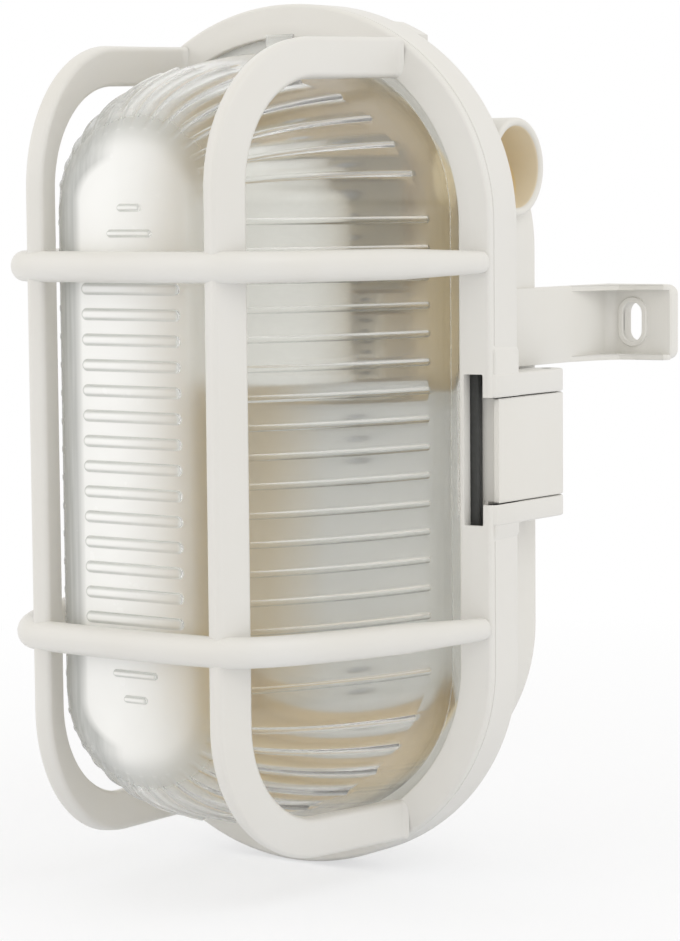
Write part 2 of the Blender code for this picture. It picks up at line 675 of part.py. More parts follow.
def cross_path(t):
    """Centre line of a cross bar in plan, from its root at t = 0 to the middle at t = 1."""
    front = GUARD_FRONT_Y - CROSS_REACH
    root = (OPENING_HALF_WIDTH + CROSS_ROOT, GUARD_FRONT_Y + GUARD_WALL)
    side = (OPENING_HALF_WIDTH - CROSS_SIDE_INSET, GUARD_FRONT_Y - CROSS_SIDE_REACH)
    corner = (OPENING_HALF_WIDTH - CROSS_CORNER_INSET, front + CROSS_CORNER_SETBACK)
    shoulder = (OPENING_HALF_WIDTH - CROSS_SHOULDER_INSET, front + CROSS_SHOULDER_SETBACK)
    if t < CROSS_SHOULDER_SHARE:
        return bezier(root, side, corner, shoulder, t / CROSS_SHOULDER_SHARE)
    rest = (t - CROSS_SHOULDER_SHARE) / (1 - CROSS_SHOULDER_SHARE)
    near = (shoulder[0] * 2 / 3, front + CROSS_SHOULDER_SETBACK / 4)
    return bezier(shoulder, near, (shoulder[0] / 3, front), (0.0, front), rest)


def make_cross_bar(height, name):
    """A cross bar: a round rod that wraps the diffuser from one flank of the ring to the other."""
    count = 10
    half = [cross_path(k / count) for k in range(count + 1)]
    path = half + [(-x, y) for x, y in half[-2::-1]]
    turns = [2 * pi * k / 10 for k in range(10)]
    section = [(CROSS_BAR_DEPTH / 2 * cos(a), CROSS_BAR_HEIGHT / 2 * sin(a)) for a in turns]
    rings = []
    for k, (x, y) in enumerate(path):
        before = path[max(k - 1, 0)]
        after = path[min(k + 1, len(path) - 1)]
        heading = atan2(after[1] - before[1], after[0] - before[0])
        taper = min(1.0, CROSS_ROOT_TAPER + (1 - CROSS_ROOT_TAPER) * min(k, len(path) - 1 - k) / 4)
        ring = [(a * taper, b * taper) for a, b in section]
        rings.append([(x - a * sin(heading), y + a * cos(heading), height + b) for a, b in ring])
    return make_object(name, loft(rings))


def make_guard(material):
    section = ring_section()
    guard = make_object("guard_cage", loft([ring_oval(o, y) for o, y in section], loop=True), material)
    front = GUARD_FRONT_Y
    skirt_inner = GUARD_HALF_WIDTH - SKIRT_WALL
    upper, lower = EAR_TOP, EAR_BOTTOM

    pad_inner = skirt_inner + SKIRT_WALL / 4
    pad_low, pad_high = lower - PAD_MARGIN / 2, upper + PAD_MARGIN
    pad = [
        (pad_inner, pad_low - PAD_REACH),
        (GUARD_HALF_WIDTH - GAP, pad_low - PAD_REACH),
        (EAR_OUTER_X, pad_low + PAD_REACH),
        (EAR_OUTER_X, pad_high - PAD_REACH),
        (GUARD_HALF_WIDTH - GAP, pad_high + PAD_REACH),
        (pad_inner, pad_high + PAD_REACH),
    ]
    pad = make_object("hinge_pad", prism(pad, front + 2 * GUARD_SHOULDER, SKIRT_BACK_Y, 'Y'))

    step = BASE_RIM_Y + BASE_FLANGE_THICKNESS + 2 * GAP
    inner_face = HINGE_X - EAR_THICKNESS / 2
    ear = barrel_outline([
        (inner_face, step + EAR_THICKNESS / 2),
        (skirt_inner - 2 * GAP, step),
        (skirt_inner - 2 * GAP, front + GUARD_SHOULDER),
        (GUARD_HALF_WIDTH - GUARD_SHOULDER, front + GUARD_SHOULDER),
        (EAR_OUTER_X, front + 2 * GUARD_SHOULDER),
    ])
    upper_ear = make_object("upper_ear", prism(ear, KNUCKLE_TOP + GAP, upper))
    lower_ear = make_object("lower_ear", prism(ear, lower, KNUCKLE_BOTTOM - GAP))
    pin_hole = circle(HINGE_X, HINGE_Y, PIN_RADIUS + HOLE_CLEARANCE, 16)
    pin_hole = make_object("guard_pin_hole", prism(pin_hole, lower - GAP, upper + GAP))

    window = rectangle(WINDOW_X, skirt_inner - GAP, lower, upper)
    window = make_object("hinge_window", prism(window, front - GUARD_WALL, GUARD_Y + GAP, 'Y'))
    lip = rectangle(WINDOW_X - GAP / 3 - WINDOW_LIP_THICKNESS, WINDOW_X - GAP / 3, lower, upper)
    lip = make_object("window_lip", prism(lip, GUARD_FRONT_Y + GUARD_WALL / 2, RIM_BACK_Y, 'Y'))
    gap = rectangle(skirt_inner - 3 * GAP, EAR_OUTER_X + GAP, KNUCKLE_BOTTOM - GAP, KNUCKLE_TOP + GAP)
    gap = make_object("knuckle_gap", prism(gap, front - GUARD_WALL, SKIRT_BACK_Y + GUARD_WALL, 'Y'))

    lug = [(-pad_inner, -CLOSING_LUG_RADIUS), (-pad_inner, CLOSING_LUG_RADIUS)]
    lug += arc(CLOSING_X, 0.0, CLOSING_LUG_RADIUS, 90, 270, 10)
    lug = make_object("closing_lug", prism(lug, front + GUARD_FACE_FALL, SKIRT_BACK_Y, 'Y'))
    screw_hole = circle(CLOSING_X, 0.0, CLOSING_SCREW_RADIUS + HOLE_CLEARANCE, 20)
    screw_hole = prism(screw_hole, front - GAP, SKIRT_BACK_Y + GAP, 'Y')
    screw_hole = make_object("closing_screw_hole", screw_hole)

    tabs = bmesh.new()
    for side in (1, -1):
        across = [TAB_OFFSET + TAB_WIDTH * (k / 4 - 0.5) for k in range(5)]
        outline = [(x, ring_height(SKIRT_OFFSET - SKIRT_DRAFT, x)) for x in across]
        outline += [(x, ring_height(SKIRT_OFFSET - SKIRT_WALL, x)) for x in across[::-1]]
        levels = (SKIRT_BACK_Y - GUARD_WALL, SKIRT_BACK_Y + TAB_REACH)
        add_loft(tabs, [[(side * x, level, side * z) for x, z in outline] for level in levels])
    join(guard, pad, upper_ear, lower_ear, lug, lip, make_object("skirt_tabs", tabs))
    cut(guard, window, gap, pin_hole, screw_hole)
    join(guard, make_upright(1), make_upright(-1))
    join(guard, make_cross_bar(CROSS_HEIGHT, "cross_upper"), make_cross_bar(-CROSS_HEIGHT, "cross_lower"))
    return guard


# Diffuser

def diffuser_shape(t, wall=0.0):
    """Half-width, half-height, straight flank and y of the diffuser's oval at depth t."""
    depth = DIFFUSER_DEPTH - wall
    bulge = DIFFUSER_BULGE_DEPTH
    width, y = bezier(
        (DIFFUSER_HALF_WIDTH, 0.0),
        (DIFFUSER_HALF_WIDTH - DIFFUSER_SIDE_BULGE_INSET, -bulge),
        (DIFFUSER_HALF_WIDTH - DIFFUSER_SIDE_EDGE_INSET, -depth),
        (DIFFUSER_HALF_WIDTH - DIFFUSER_SIDE_PANEL_INSET, -depth),
        t,
    )
    height, y = bezier(
        (DIFFUSER_HALF_HEIGHT, 0.0),
        (DIFFUSER_HALF_HEIGHT - DIFFUSER_END_BULGE_INSET, -bulge),
        (DIFFUSER_HALF_HEIGHT - DIFFUSER_END_EDGE_INSET, -depth),
        (DIFFUSER_HALF_HEIGHT - DIFFUSER_END_PANEL_INSET, -depth),
        t,
    )
    straight = DIFFUSER_STRAIGHT + DIFFUSER_STRAIGHT_GAIN * t
    return width - wall, height - wall, straight, GUARD_FRONT_Y + y


def diffuser_oval(t, wall=0.0):
    width, height, straight, y = diffuser_shape(t, wall)
    return oval(width, height, height - straight, y)


def flank_point(t, z):
    """The point of the diffuser's +X flank at depth t and height z."""
    width, height, straight, y = diffuser_shape(t)
    past = max(0.0, abs(z) - straight) / (height - straight)
    return Vector((width * sqrt(max(0.0, 1 - past * past)), y, z))


def end_point(t, angle):
    """The point of the diffuser's upper end at depth t and at an angle round the oval's corner."""
    width, height, straight, y = diffuser_shape(t)
    return Vector((width * cos(angle), y, straight + (height - straight) * sin(angle)))


def rib_sections(surface, value, depths):
    """Sections of a rib that follows the surface through a row of depths and fades out at both ends."""
    half = RIB_WIDTH / 2
    rings = []
    for t in (depth + DEPTH_OFFSET for depth in depths):
        centre = surface(t, value)
        along = (surface(t + DEPTH_STEP, value) - surface(t - DEPTH_STEP, value)).normalized()
        across = surface(t, value + DEPTH_STEP) - surface(t, value - DEPTH_STEP)
        normal = along.cross(across).normalized()
        if normal.dot(centre - Vector((0.0, GUARD_FRONT_Y, 0.0))) < 0:
            normal = -normal
        side = normal.cross(along).normalized()
        rise = RIB_HEIGHT * (0.35 if len(rings) in (0, len(depths) - 1) else 1.0)
        root = [centre - side * half - normal * RIB_ROOT, centre + side * half - normal * RIB_ROOT]
        top = [centre + side * (half * 0.5) + normal * rise, centre - side * (half * 0.5) + normal * rise]
        rings.append(root + top)
    return rings


def turn_half(rings):
    """The same sections on the opposite side of the light."""
    return [[(-x, y, -z) for x, y, z in ring] for ring in rings]


def panel_rib(builder, z, length, width):
    """A flat rib with round ends on the front panel."""
    panel = GUARD_FRONT_Y - DIFFUSER_DEPTH
    rings = []
    for level, shrink in ((panel + RIB_ROOT, 0.0), (panel - PANEL_RIB_HEIGHT, width * 0.2)):
        radius = width / 2 - shrink
        run = length / 2 - width / 2
        outline = arc(run, z, radius, -90, 90, 4) + arc(-run, z, radius, 90, 270, 4)
        rings.append([(x, level, b) for x, b in outline])
    add_loft(builder, rings)


def make_diffuser(material):
    outer = [diffuser_oval(t) for t in (1.0,) + DIFFUSER_DEPTHS[::-1] + (0.0,)]
    inner = [diffuser_oval(t, DIFFUSER_WALL) for t in DIFFUSER_INNER_DEPTHS]
    rings = outer + [
        [(x, RIM_FRONT_Y, z) for x, y, z in outer[-1]],
        ring_oval(RIM_REACH, RIM_FRONT_Y),
        ring_oval(RIM_REACH, RIM_BACK_Y),
        [(x, RIM_BACK_Y, z) for x, y, z in inner[0]],
    ] + inner
    diffuser = make_object("diffuser", loft(rings), material)

    side_ribs, panel_ribs, end_ribs = bmesh.new(), bmesh.new(), bmesh.new()
    rows = int((DIFFUSER_STRAIGHT + DIFFUSER_STRAIGHT_GAIN) / SIDE_RIB_PITCH)
    for k in range(-rows, rows + 1):
        sections = rib_sections(flank_point, k * SIDE_RIB_PITCH, DIFFUSER_DEPTHS[:-2])
        add_loft(side_ribs, sections)
        add_loft(side_ribs, turn_half(sections))
    for k in range(PANEL_RIB_COUNT):
        height = (k - (PANEL_RIB_COUNT - 1) / 2) * PANEL_RIB_PITCH
        panel_rib(panel_ribs, height, PANEL_RIB_LENGTH, PANEL_RIB_WIDTH)
    for length, height in zip(MARK_RIB_LENGTHS, MARK_RIB_HEIGHTS):
        panel_rib(panel_ribs, height, length, MARK_RIB_WIDTH)
        panel_rib(panel_ribs, -height, length, MARK_RIB_WIDTH)
    for k in range(-END_RIB_COUNT, END_RIB_COUNT + 1):
        spread = (90.0 - END_RIB_START) / END_RIB_COUNT
        angle = radians(90.0 - k * spread)
        first = sum(90.0 - abs(k) * spread > limit for limit in END_RIB_SETBACKS)
        sections = rib_sections(end_point, angle, DIFFUSER_DEPTHS[first:-1])
        add_loft(end_ribs, sections)
        add_loft(end_ribs, turn_half(sections))
    join(diffuser, make_object("side_ribs", side_ribs), make_object("panel_ribs", panel_ribs))
    join(diffuser, make_object("end_ribs", end_ribs))

    lugs = bmesh.new()
    lug_back = GUARD_FRONT_Y - GAP
    lug_front = lug_back - LATCHING_LUG_THICKNESS
    lug_top = OPENING_HALF_HEIGHT + LATCHING_LUG_CATCH
    lug_root = DIFFUSER_HALF_HEIGHT - DIFFUSER_WALL
    for side in (1, -1):
        outline = rectangle(-LATCHING_LUG_LENGTH / 2, LATCHING_LUG_LENGTH / 2, side * lug_root, side * lug_top)
        add_loft(lugs, [[(x, level, z) for x, z in outline] for level in (lug_front, lug_back)])
    join(diffuser, make_object("diffuser_lugs", lugs))
    notch_inner = WINDOW_X - 2 * GAP - WINDOW_LIP_THICKNESS
    notch = rectangle(notch_inner, WINDOW_X + RIM_REACH, EAR_BOTTOM - GAP, EAR_TOP + GAP)
    cut(diffuser, make_object("rim_notch", prism(notch, RIM_FRONT_Y - GAP, RIM_BACK_Y + GAP, 'Y')))
    return diffuser


# Hinge pin and closing screw

def make_hinge_pin(material):
    edge = PIN_RADIUS / 5
    profile = [
        (PIN_RADIUS - edge, EAR_BOTTOM),
        (PIN_RADIUS, EAR_BOTTOM + edge),
        (PIN_RADIUS, EAR_TOP - edge),
        (PIN_RADIUS - edge, EAR_TOP),
    ]
    return make_object("hinge_pin", turned(profile, (HINGE_X, HINGE_Y), 16), material)


def make_screw(name, place, direction, size, length, material):
    """A pan-head screw seated at a place, its head facing a direction; size is its radius, head and rise."""
    radius, head_radius, head_height = size
    profile = [
        (radius * 0.6, -length),
        (radius, -length + radius * 0.5),
        (radius, 0.0),
        (head_radius, 0.0),
        (head_radius, head_height * 0.7),
        (head_radius * 0.8, head_height),
    ]
    turn = Vector((0.0, 0.0, 1.0)).rotation_difference(Vector(direction)).to_matrix().to_4x4()
    builder = turned(profile, (0.0, 0.0), 12)
    builder.transform(Matrix.Translation(place) @ turn)
    return make_object(name, builder, material)


def make_closing_screw(material):
    seat = GUARD_FRONT_Y + GUARD_FACE_FALL - GAP
    place = (CLOSING_X, seat, 0.0)
    screw = make_screw("closing_screw", place, (0, -1, 0), CLOSING_SCREW_SIZE, CLOSING_SCREW_LENGTH, material)
    top = seat - CLOSING_HEAD_HEIGHT
    reach = CLOSING_HEAD_RADIUS * 1.1
    slot = rectangle(CLOSING_X - reach, CLOSING_X + reach, -SLOT_WIDTH / 2, SLOT_WIDTH / 2)
    cut(screw, make_object("closing_slot", prism(slot, top - GAP, top + SLOT_DEPTH, 'Y')))
    return screw


def make_closing_insert(material):
    """The threaded brass bush in the base that takes the closing screw."""
    front = SKIRT_BACK_Y + GAP
    bore = CLOSING_SCREW_RADIUS + HOLE_CLEARANCE
    back = front + INSERT_LENGTH
    profile = [(bore, front), (bore + INSERT_WALL, front), (bore + INSERT_WALL, back), (bore, back)]
    rings = [[(x, y, z) for x, z in circle(CLOSING_X, 0.0, radius, 20)] for radius, y in profile]
    return make_object("closing_insert", loft(rings, loop=True), material)


# Lampholder

def make_lampholder(material):
    bottom = HOLDER_TOP - HOLDER_LENGTH
    neck = HOLDER_TOP - HOLDER_NECK_LENGTH
    shoulder = neck - HOLDER_SHOULDER
    lip = HOLDER_RADIUS + HOLDER_LIP
    roof = bottom + SOCKET_DEPTH
    profile = [
        (HOLDER_NECK_RADIUS, HOLDER_TOP),
        (HOLDER_NECK_RADIUS, neck),
        ((HOLDER_NECK_RADIUS + HOLDER_RADIUS) / 2 + HOLDER_LIP, neck - HOLDER_SHOULDER / 3),
        (HOLDER_RADIUS, shoulder),
        (HOLDER_RADIUS, bottom + HOLDER_LIP_HEIGHT + HOLDER_LIP),
        (lip, bottom + HOLDER_LIP_HEIGHT),
        (lip, bottom + HOLDER_LIP),
        (lip - HOLDER_LIP, bottom),
        (SOCKET_RADIUS + HOLDER_LIP, bottom),
        (SOCKET_RADIUS, bottom + HOLDER_LIP),
        (SOCKET_RADIUS, roof),
    ]
    holder = make_object("lampholder_body", turned(profile, (0.0, LAMP_Y), 28), material)
    pilots = bmesh.new()
    for side in (1, -1):
        pilot = circle(side * HOLDER_SCREW_SPACING / 2, LAMP_Y, SCREW_RADIUS + HOLE_CLEARANCE, 12)
        low = HOLDER_TOP - SCREW_BITE - GAP
        add_loft(pilots, [[(x, y, level) for x, y in pilot] for level in (low, HOLDER_TOP + GAP)])
    cut(holder, make_object("holder_pilots", pilots))
    return holder


def make_threaded_shell(material):
    """The brass sleeve with its rolled thread, drawn as rings."""
    bottom = HOLDER_TOP - HOLDER_LENGTH
    low = bottom + SHELL_SETBACK
    high = bottom + SOCKET_DEPTH - GAP
    outer = SOCKET_RADIUS - GAP
    wave = SHELL_WAVE
    count = SHELL_WAVES * 2
    levels = [low + (high - low) * k / count for k in range(count + 1)]
    outside = [(outer - (wave if k % 2 else 0.0), z) for k, z in enumerate(levels)]
    inside = [(radius - SHELL_WALL, z) for radius, z in outside[::-1]]
    return make_object("threaded_shell", turned_tube(outside + inside, (0.0, LAMP_Y), 20), material)


def make_centre_contact(material):
    """A sprung tongue under the roof of the socket."""
    roof = HOLDER_TOP - HOLDER_LENGTH + SOCKET_DEPTH - GAP
    thickness = CONTACT_THICKNESS
    start = LAMP_Y + CONTACT_LENGTH / 2
    bend = LAMP_Y + CONTACT_LENGTH / 8
    end = LAMP_Y - CONTACT_LENGTH / 2
    outline = [
        (start, roof),
        (start, roof - thickness),
        (bend, roof - thickness),
        ((bend + end) / 2, roof - CONTACT_RISE),
        (end, roof - CONTACT_RISE),
        (end, roof - CONTACT_RISE + thickness),
        ((bend + end) / 2, roof - CONTACT_RISE + thickness),
        (bend, roof),
    ]
    return make_object("centre_contact", prism(outline, -CONTACT_WIDTH / 2, CONTACT_WIDTH / 2, 'X'), material)


def make_bracket(material):
    """A bent steel strip: one leg on the base's posts, the other out over the lampholder."""
    back = BASE_FLOOR_Y - POST_LENGTH - GAP
    front = back - BRACKET_THICKNESS
    under = HOLDER_TOP + GAP
    over = under + BRACKET_THICKNESS
    foot = over - BRACKET_FOOT_LENGTH
    tip = LAMP_Y - BRACKET_ARM_PAST_AXIS
    bend = BRACKET_BEND
    outline = [(back, foot), (back, over - bend)]
    outline += arc(back - bend, over - bend, bend, 0, 90, 4)
    outline += [(tip, over), (tip, under)]
    inside = bend - BRACKET_THICKNESS
    outline += arc(front - inside, under - inside, inside, 90, 0, 4) + [(front, foot)]
    strip = prism(outline, -BRACKET_WIDTH / 2, BRACKET_WIDTH / 2, 'X')
    bracket = make_object("holder_bracket", strip, material)
    holes = bmesh.new()
    radius = SCREW_RADIUS + HOLE_CLEARANCE
    for z in bracket_screw_heights():
        hole = circle(0.0, z, radius, 12)
        add_loft(holes, [[(a, level, b) for a, b in hole] for level in (front - GAP, back + GAP)])
    for side in (1, -1):
        hole = circle(side * HOLDER_SCREW_SPACING / 2, LAMP_Y, radius, 12)
        add_loft(holes, [[(a, b, level) for a, b in hole] for level in (under - GAP, over + GAP)])
    cut(bracket, make_object("bracket_holes", holes))
    return bracket


def make_inner_screws(finish):
    bracket_front = BASE_FLOOR_Y - POST_LENGTH - GAP - BRACKET_THICKNESS
    length = BRACKET_THICKNESS + GAP + SCREW_BITE
    for name, z in zip(("upper", "lower"), bracket_screw_heights()):
        name = f"bracket_screw_{name}"
        place = (0.0, bracket_front - GAP, z)
        make_screw(name, place, (0, -1, 0), INNER_SCREW_SIZE, length, make_material(name, *finish))

    over = HOLDER_TOP + GAP + BRACKET_THICKNESS
    for name, side in (("right", 1), ("left", -1)):
        name = f"holder_screw_{name}"
        place = (side * HOLDER_SCREW_SPACING / 2, LAMP_Y, over + GAP)
        make_screw(name, place, (0, 0, 1), INNER_SCREW_SIZE, length, make_material(name, *finish))

    plate_front = BASE_FLOOR_Y - REFLECTOR_LIFT - GAP - REFLECTOR_THICKNESS
    length = REFLECTOR_THICKNESS + GAP + SCREW_BITE
    for name, z in zip(("upper", "lower"), REFLECTOR_SCREW_HEIGHTS):
        name = f"reflector_screw_{name}"
        place = (0.0, plate_front - GAP, z)
        make_screw(name, place, (0, -1, 0), INNER_SCREW_SIZE, length, make_material(name, *finish))


# Reflector

def make_reflector(material):
    """A thin plate with a round lower end, dished forwards around its edge."""
    back = BASE_FLOOR_Y - REFLECTOR_LIFT - GAP
    front = back - REFLECTOR_THICKNESS
    half = REFLECTOR_HALF_WIDTH
    lip = REFLECTOR_LIP

    def outline(inset, y):
        width = half - inset
        low = REFLECTOR_BOTTOM + half
        lower = [(x, y, z) for x, z in arc(0.0, low, width, 180, 360, 20)]
        return lower + [(width, y, REFLECTOR_TOP - inset), (-width, y, REFLECTOR_TOP - inset)]

    rings = [
        outline(lip, back),
        outline(0.0, back - lip),
        outline(0.0, front - lip),
        outline(REFLECTOR_THICKNESS / 2, front - lip),
        outline(lip + REFLECTOR_THICKNESS / 2, front),
    ]
    plate = make_object("reflector_plate", loft(rings), material)
    holes = bmesh.new()
    for z in REFLECTOR_SCREW_HEIGHTS:
        hole = circle(0.0, z, SCREW_RADIUS + HOLE_CLEARANCE, 12)
        add_loft(holes, [[(a, level, b) for a, b in hole] for level in (front - GAP, back + GAP)])
    cut(plate, make_object("reflector_holes", holes))
    return plate


# Mains terminals

def terminal_columns():
    return [(k - (TERMINAL_COUNT - 1) / 2) * TERMINAL_PITCH for k in range(TERMINAL_COUNT)]


def make_terminals(block_finish, clamp_finish, screw_finish):
    """A screw terminal block on the base floor, with a brass clamp and two screws in each way."""
    back = BASE_FLOOR_Y - GAP
    front = back - TERMINAL_DEPTH
    middle = back - TERMINAL_DEPTH / 2
    half = TERMINAL_COUNT * TERMINAL_PITCH / 2
    low, high = TERMINAL_HEIGHT - TERMINAL_LENGTH / 2, TERMINAL_HEIGHT + TERMINAL_LENGTH / 2
    edge = TERMINAL_WALL
    outline = [
        (-half, back),
        (half, back),
        (half, front + edge),
        (half - edge, front),
        (edge - half, front),
        (-half, front + edge),
    ]
    material = make_material("terminal_block", *block_finish)
    block = make_object("terminal_block", prism(outline, low, high), material)
    bores, wells = bmesh.new(), bmesh.new()
    for number, x in enumerate(terminal_columns(), 1):
        bore = circle(x, middle, TERMINAL_BORE_RADIUS, 12)
        add_loft(bores, [[(a, b, level) for a, b in bore] for level in (low - GAP, high + GAP)])
        outer = TERMINAL_BORE_RADIUS - GAP
        inner = outer - CLAMP_WALL
        ends = (TERMINAL_HEIGHT - CLAMP_LENGTH / 2, TERMINAL_HEIGHT + CLAMP_LENGTH / 2)
        profile = [(inner, ends[0]), (outer, ends[0]), (outer, ends[1]), (inner, ends[1])]
        name = f"terminal_clamp_{number}"
        clamp = make_object(name, turned_tube(profile, (x, middle), 12), make_material(name, *clamp_finish))
        crosses = bmesh.new()
        for level, side in (("upper", 1), ("lower", -1)):
            z = TERMINAL_HEIGHT + side * TERMINAL_SCREW_OFFSET
            well = circle(x, z, WELL_RADIUS, 10)
            add_loft(wells, [[(a, b_y, b) for a, b in well] for b_y in (front - GAP, middle)])
            cross = circle(x, z, TERMINAL_SCREW_RADIUS + HOLE_CLEARANCE, 8)
            add_loft(crosses, [[(a, b_y, b) for a, b in cross] for b_y in (front, middle)])
            shank = circle(x, z, TERMINAL_SCREW_RADIUS, 8)
            name = f"terminal_screw_{number}_{level}"
            tip = middle - TERMINAL_BORE_RADIUS / 3
            make_object(name, prism(shank, front + edge, tip, 'Y'), make_material(name, *screw_finish))
        cut(clamp, make_object(f"clamp_crosses_{number}", crosses))
    cut(block, make_object("terminal_bores", bores), make_object("terminal_wells", wells))


def build():
    clear_scene()
    make_base_housing(make_material("base_housing", *IVORY))
    make_gasket(make_material("gasket", *RUBBER))
    make_guard(make_material("guard_cage", *IVORY))
    make_diffuser(make_material("diffuser", *CLEAR))
    make_hinge_pin(make_material("hinge_pin", *STEEL))
    make_closing_screw(make_material("closing_screw", *STEEL))
    make_closing_insert(make_material("closing_insert", *BRASS))
    make_lampholder(make_material("lampholder_body", *PORCELAIN))
    make_threaded_shell(make_material("threaded_shell", *BRASS))
    make_centre_contact(make_material("centre_contact", *BRASS))
    make_bracket(make_material("holder_bracket", *ZINC))
    make_inner_screws(ZINC)
    make_reflector(make_material("reflector_plate", *ALUMINIUM))
    make_terminals(NYLON, BRASS, STEEL)


build()
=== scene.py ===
"""Oval wall light: the visible pieces, their finishes and the stage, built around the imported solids.

Metres, +Z up. -Y faces the room, the wall is the plane Y = 0 and X runs across the light.
"""

from math import atan2, cos, pi, radians, sin, sqrt

import bmesh
import bpy
from bpy.props import FloatProperty, FloatVectorProperty, PointerProperty
from mathutils import Matrix, Vector


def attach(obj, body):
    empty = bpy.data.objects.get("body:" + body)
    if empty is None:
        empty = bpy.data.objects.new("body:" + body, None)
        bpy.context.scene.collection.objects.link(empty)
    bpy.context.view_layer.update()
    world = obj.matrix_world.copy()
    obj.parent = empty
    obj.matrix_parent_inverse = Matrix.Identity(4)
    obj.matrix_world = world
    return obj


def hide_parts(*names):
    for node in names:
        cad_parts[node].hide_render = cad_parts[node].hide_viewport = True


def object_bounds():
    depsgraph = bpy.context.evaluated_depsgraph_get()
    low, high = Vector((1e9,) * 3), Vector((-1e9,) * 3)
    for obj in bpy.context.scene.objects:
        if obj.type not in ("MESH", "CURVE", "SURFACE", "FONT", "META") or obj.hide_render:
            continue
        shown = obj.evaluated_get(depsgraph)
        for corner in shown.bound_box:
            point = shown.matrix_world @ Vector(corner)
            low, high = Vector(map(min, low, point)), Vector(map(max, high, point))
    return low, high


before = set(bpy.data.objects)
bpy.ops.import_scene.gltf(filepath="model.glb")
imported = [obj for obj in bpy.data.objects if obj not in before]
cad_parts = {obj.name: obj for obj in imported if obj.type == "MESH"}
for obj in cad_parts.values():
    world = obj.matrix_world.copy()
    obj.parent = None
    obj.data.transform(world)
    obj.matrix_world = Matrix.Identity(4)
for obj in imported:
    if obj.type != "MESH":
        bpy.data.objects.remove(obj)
cad_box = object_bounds()

bl_info = {
    "name": "Oval wall light",
    "version": (1, 0, 0),
    "blender": (4, 5, 0),
    "location": "View3D > Sidebar > Wall light",
    "description": "Builds an oval wall light with a hinged guard and a clear ribbed diffuser",
    "category": "Add Mesh",
}

# Levels of the stack, from the wall towards the room
BASE_BACK_Y = -0.0370
BASE_FLOOR_Y = -0.0395
BASE_RIM_Y = -0.0677
GASKET_BACK_Y = -0.0680
GASKET_FRONT_Y = -0.0701
RIM_BACK_Y = -0.0704
RIM_FRONT_Y = -0.0716
GUARD_Y = -0.0719
GUARD_FRONT_Y = -0.0735
SKIRT_BACK_Y = -0.0605
LAMP_Y = -0.0785

# Outlines: half-width, half-height and the height of the elliptical ends
BASE_OVAL = (0.0506, 0.0934, 0.0470)
OPENING_OVAL = (0.0508, 0.0980, 0.0455)
BASE_WALL = 0.0025
SKIRT_OFFSET = 0.0084
RIM_REACH = 0.0035

# Hinge and closing screw
HINGE_X, HINGE_Y = 0.0560, -0.0419
EAR_OUTER_X = 0.0600
EAR_THICKNESS = 0.0080
KNUCKLE_LOW, KNUCKLE_HIGH = -0.0137, 0.0112
EAR_LOW, EAR_HIGH = -0.0190, 0.0170
CLOSING_X = -0.0625
CLOSING_RADIUS = 0.0045

# Feet and cable entries
FOOT_HEIGHT, FOOT_WIDTH = 0.0270, 0.0190
FOOT_ARM_X, FOOT_ARM_THICKNESS = 0.0518, 0.0030
FOOT_TIP_X = 0.0698
FOOT_SLOT_X = 0.0588
FOOT_SLOT_WIDTH, FOOT_SLOT_HEIGHT = 0.0055, 0.0100
ENTRY_Y, ENTRY_Z = -0.0485, 0.0660
ENTRY_OUTER, ENTRY_BORE = 0.0119, 0.0098
ENTRY_TIP_X, ENTRY_FLOOR_X = 0.0524, 0.0363

# Inner parts
HOLDER_TOP, HOLDER_BOTTOM = 0.0705, 0.0140
REFLECTOR_SCREWS_Z = (-0.0030, -0.0640)
REFLECTOR_POST = 0.0030
BRACKET_SCREWS_Z = (0.0630, 0.0470)
HOLDER_SCREW_X = 0.0080

# Guard: upright bars, cross bars, tabs and the hinge window
UPRIGHT_REACH = 0.0596
UPRIGHT_HALF_HEIGHT = 0.0921
UPRIGHT_BEND = 0.0300
UPRIGHT_X, UPRIGHT_ROOT_SPREAD = 0.0270, 0.0053
UPRIGHT_LEAN = 20.0
UPRIGHT_FLARE = 0.0009
CROSS_SIDE = ((0.0576, -0.0719), (0.0500, -0.0975), (0.0395, -0.1338), (0.0270, -0.1361))
CROSS_FRONT = ((0.0270, -0.1361), (0.0180, -0.1373), (0.0090, -0.1377), (0.0, -0.1377))
CROSS_ROOT_ROUND = 0.0015
CROSS_BAR_Z = 0.0435
TAB_X, TAB_WIDTH = 0.0275, 0.0070
WINDOW_INNER_X, WINDOW_OUTER_X = 0.0521, 0.0569
WINDOW_LIP_INNER_X, WINDOW_LIP_OUTER_X = 0.05118, 0.05198

# Gasket: its section, and where that runs beside the opening
GASKET_OFFSET, GASKET_HALF_WIDTH, GASKET_EDGE = 0.0019, 0.0014, 0.0005

# The diffuser's flat front panel, and the straight flanks of its rim and its panel
PANEL_HALF_WIDTH, PANEL_HALF_HEIGHT = 0.0170, 0.0700
RIM_STRAIGHT, PANEL_STRAIGHT = 0.0550, 0.0580

# How the diffuser's oval narrows towards the panel
DIFFUSER_WIDTHS = (0.0475, 0.0450, 0.0280, PANEL_HALF_WIDTH)
DIFFUSER_HEIGHTS = (0.0950, 0.0930, 0.0860, PANEL_HALF_HEIGHT)
DIFFUSER_BULGE_DEPTH = 0.0250

# Ribs of the diffuser's flanks, ends and panel
FLANK_RIB_PITCH, FLANK_RIB_PAIRS = 0.0067, 8
END_RIB_PAIRS = 7
PANEL_RIB_COUNT, PANEL_RIB_PITCH = 14, 0.0059
PANEL_RIB_LENGTH, PANEL_RIB_WIDTH = 0.0288, 0.0026
MARK_RIBS, MARK_RIB_WIDTH = ((0.0130, 0.0511), (0.0068, 0.0570)), 0.0016
LATCHING_LUG_HALF, LATCHING_LUG_LOW, LATCHING_LUG_HIGH = 0.0040, 0.0940, 0.0987

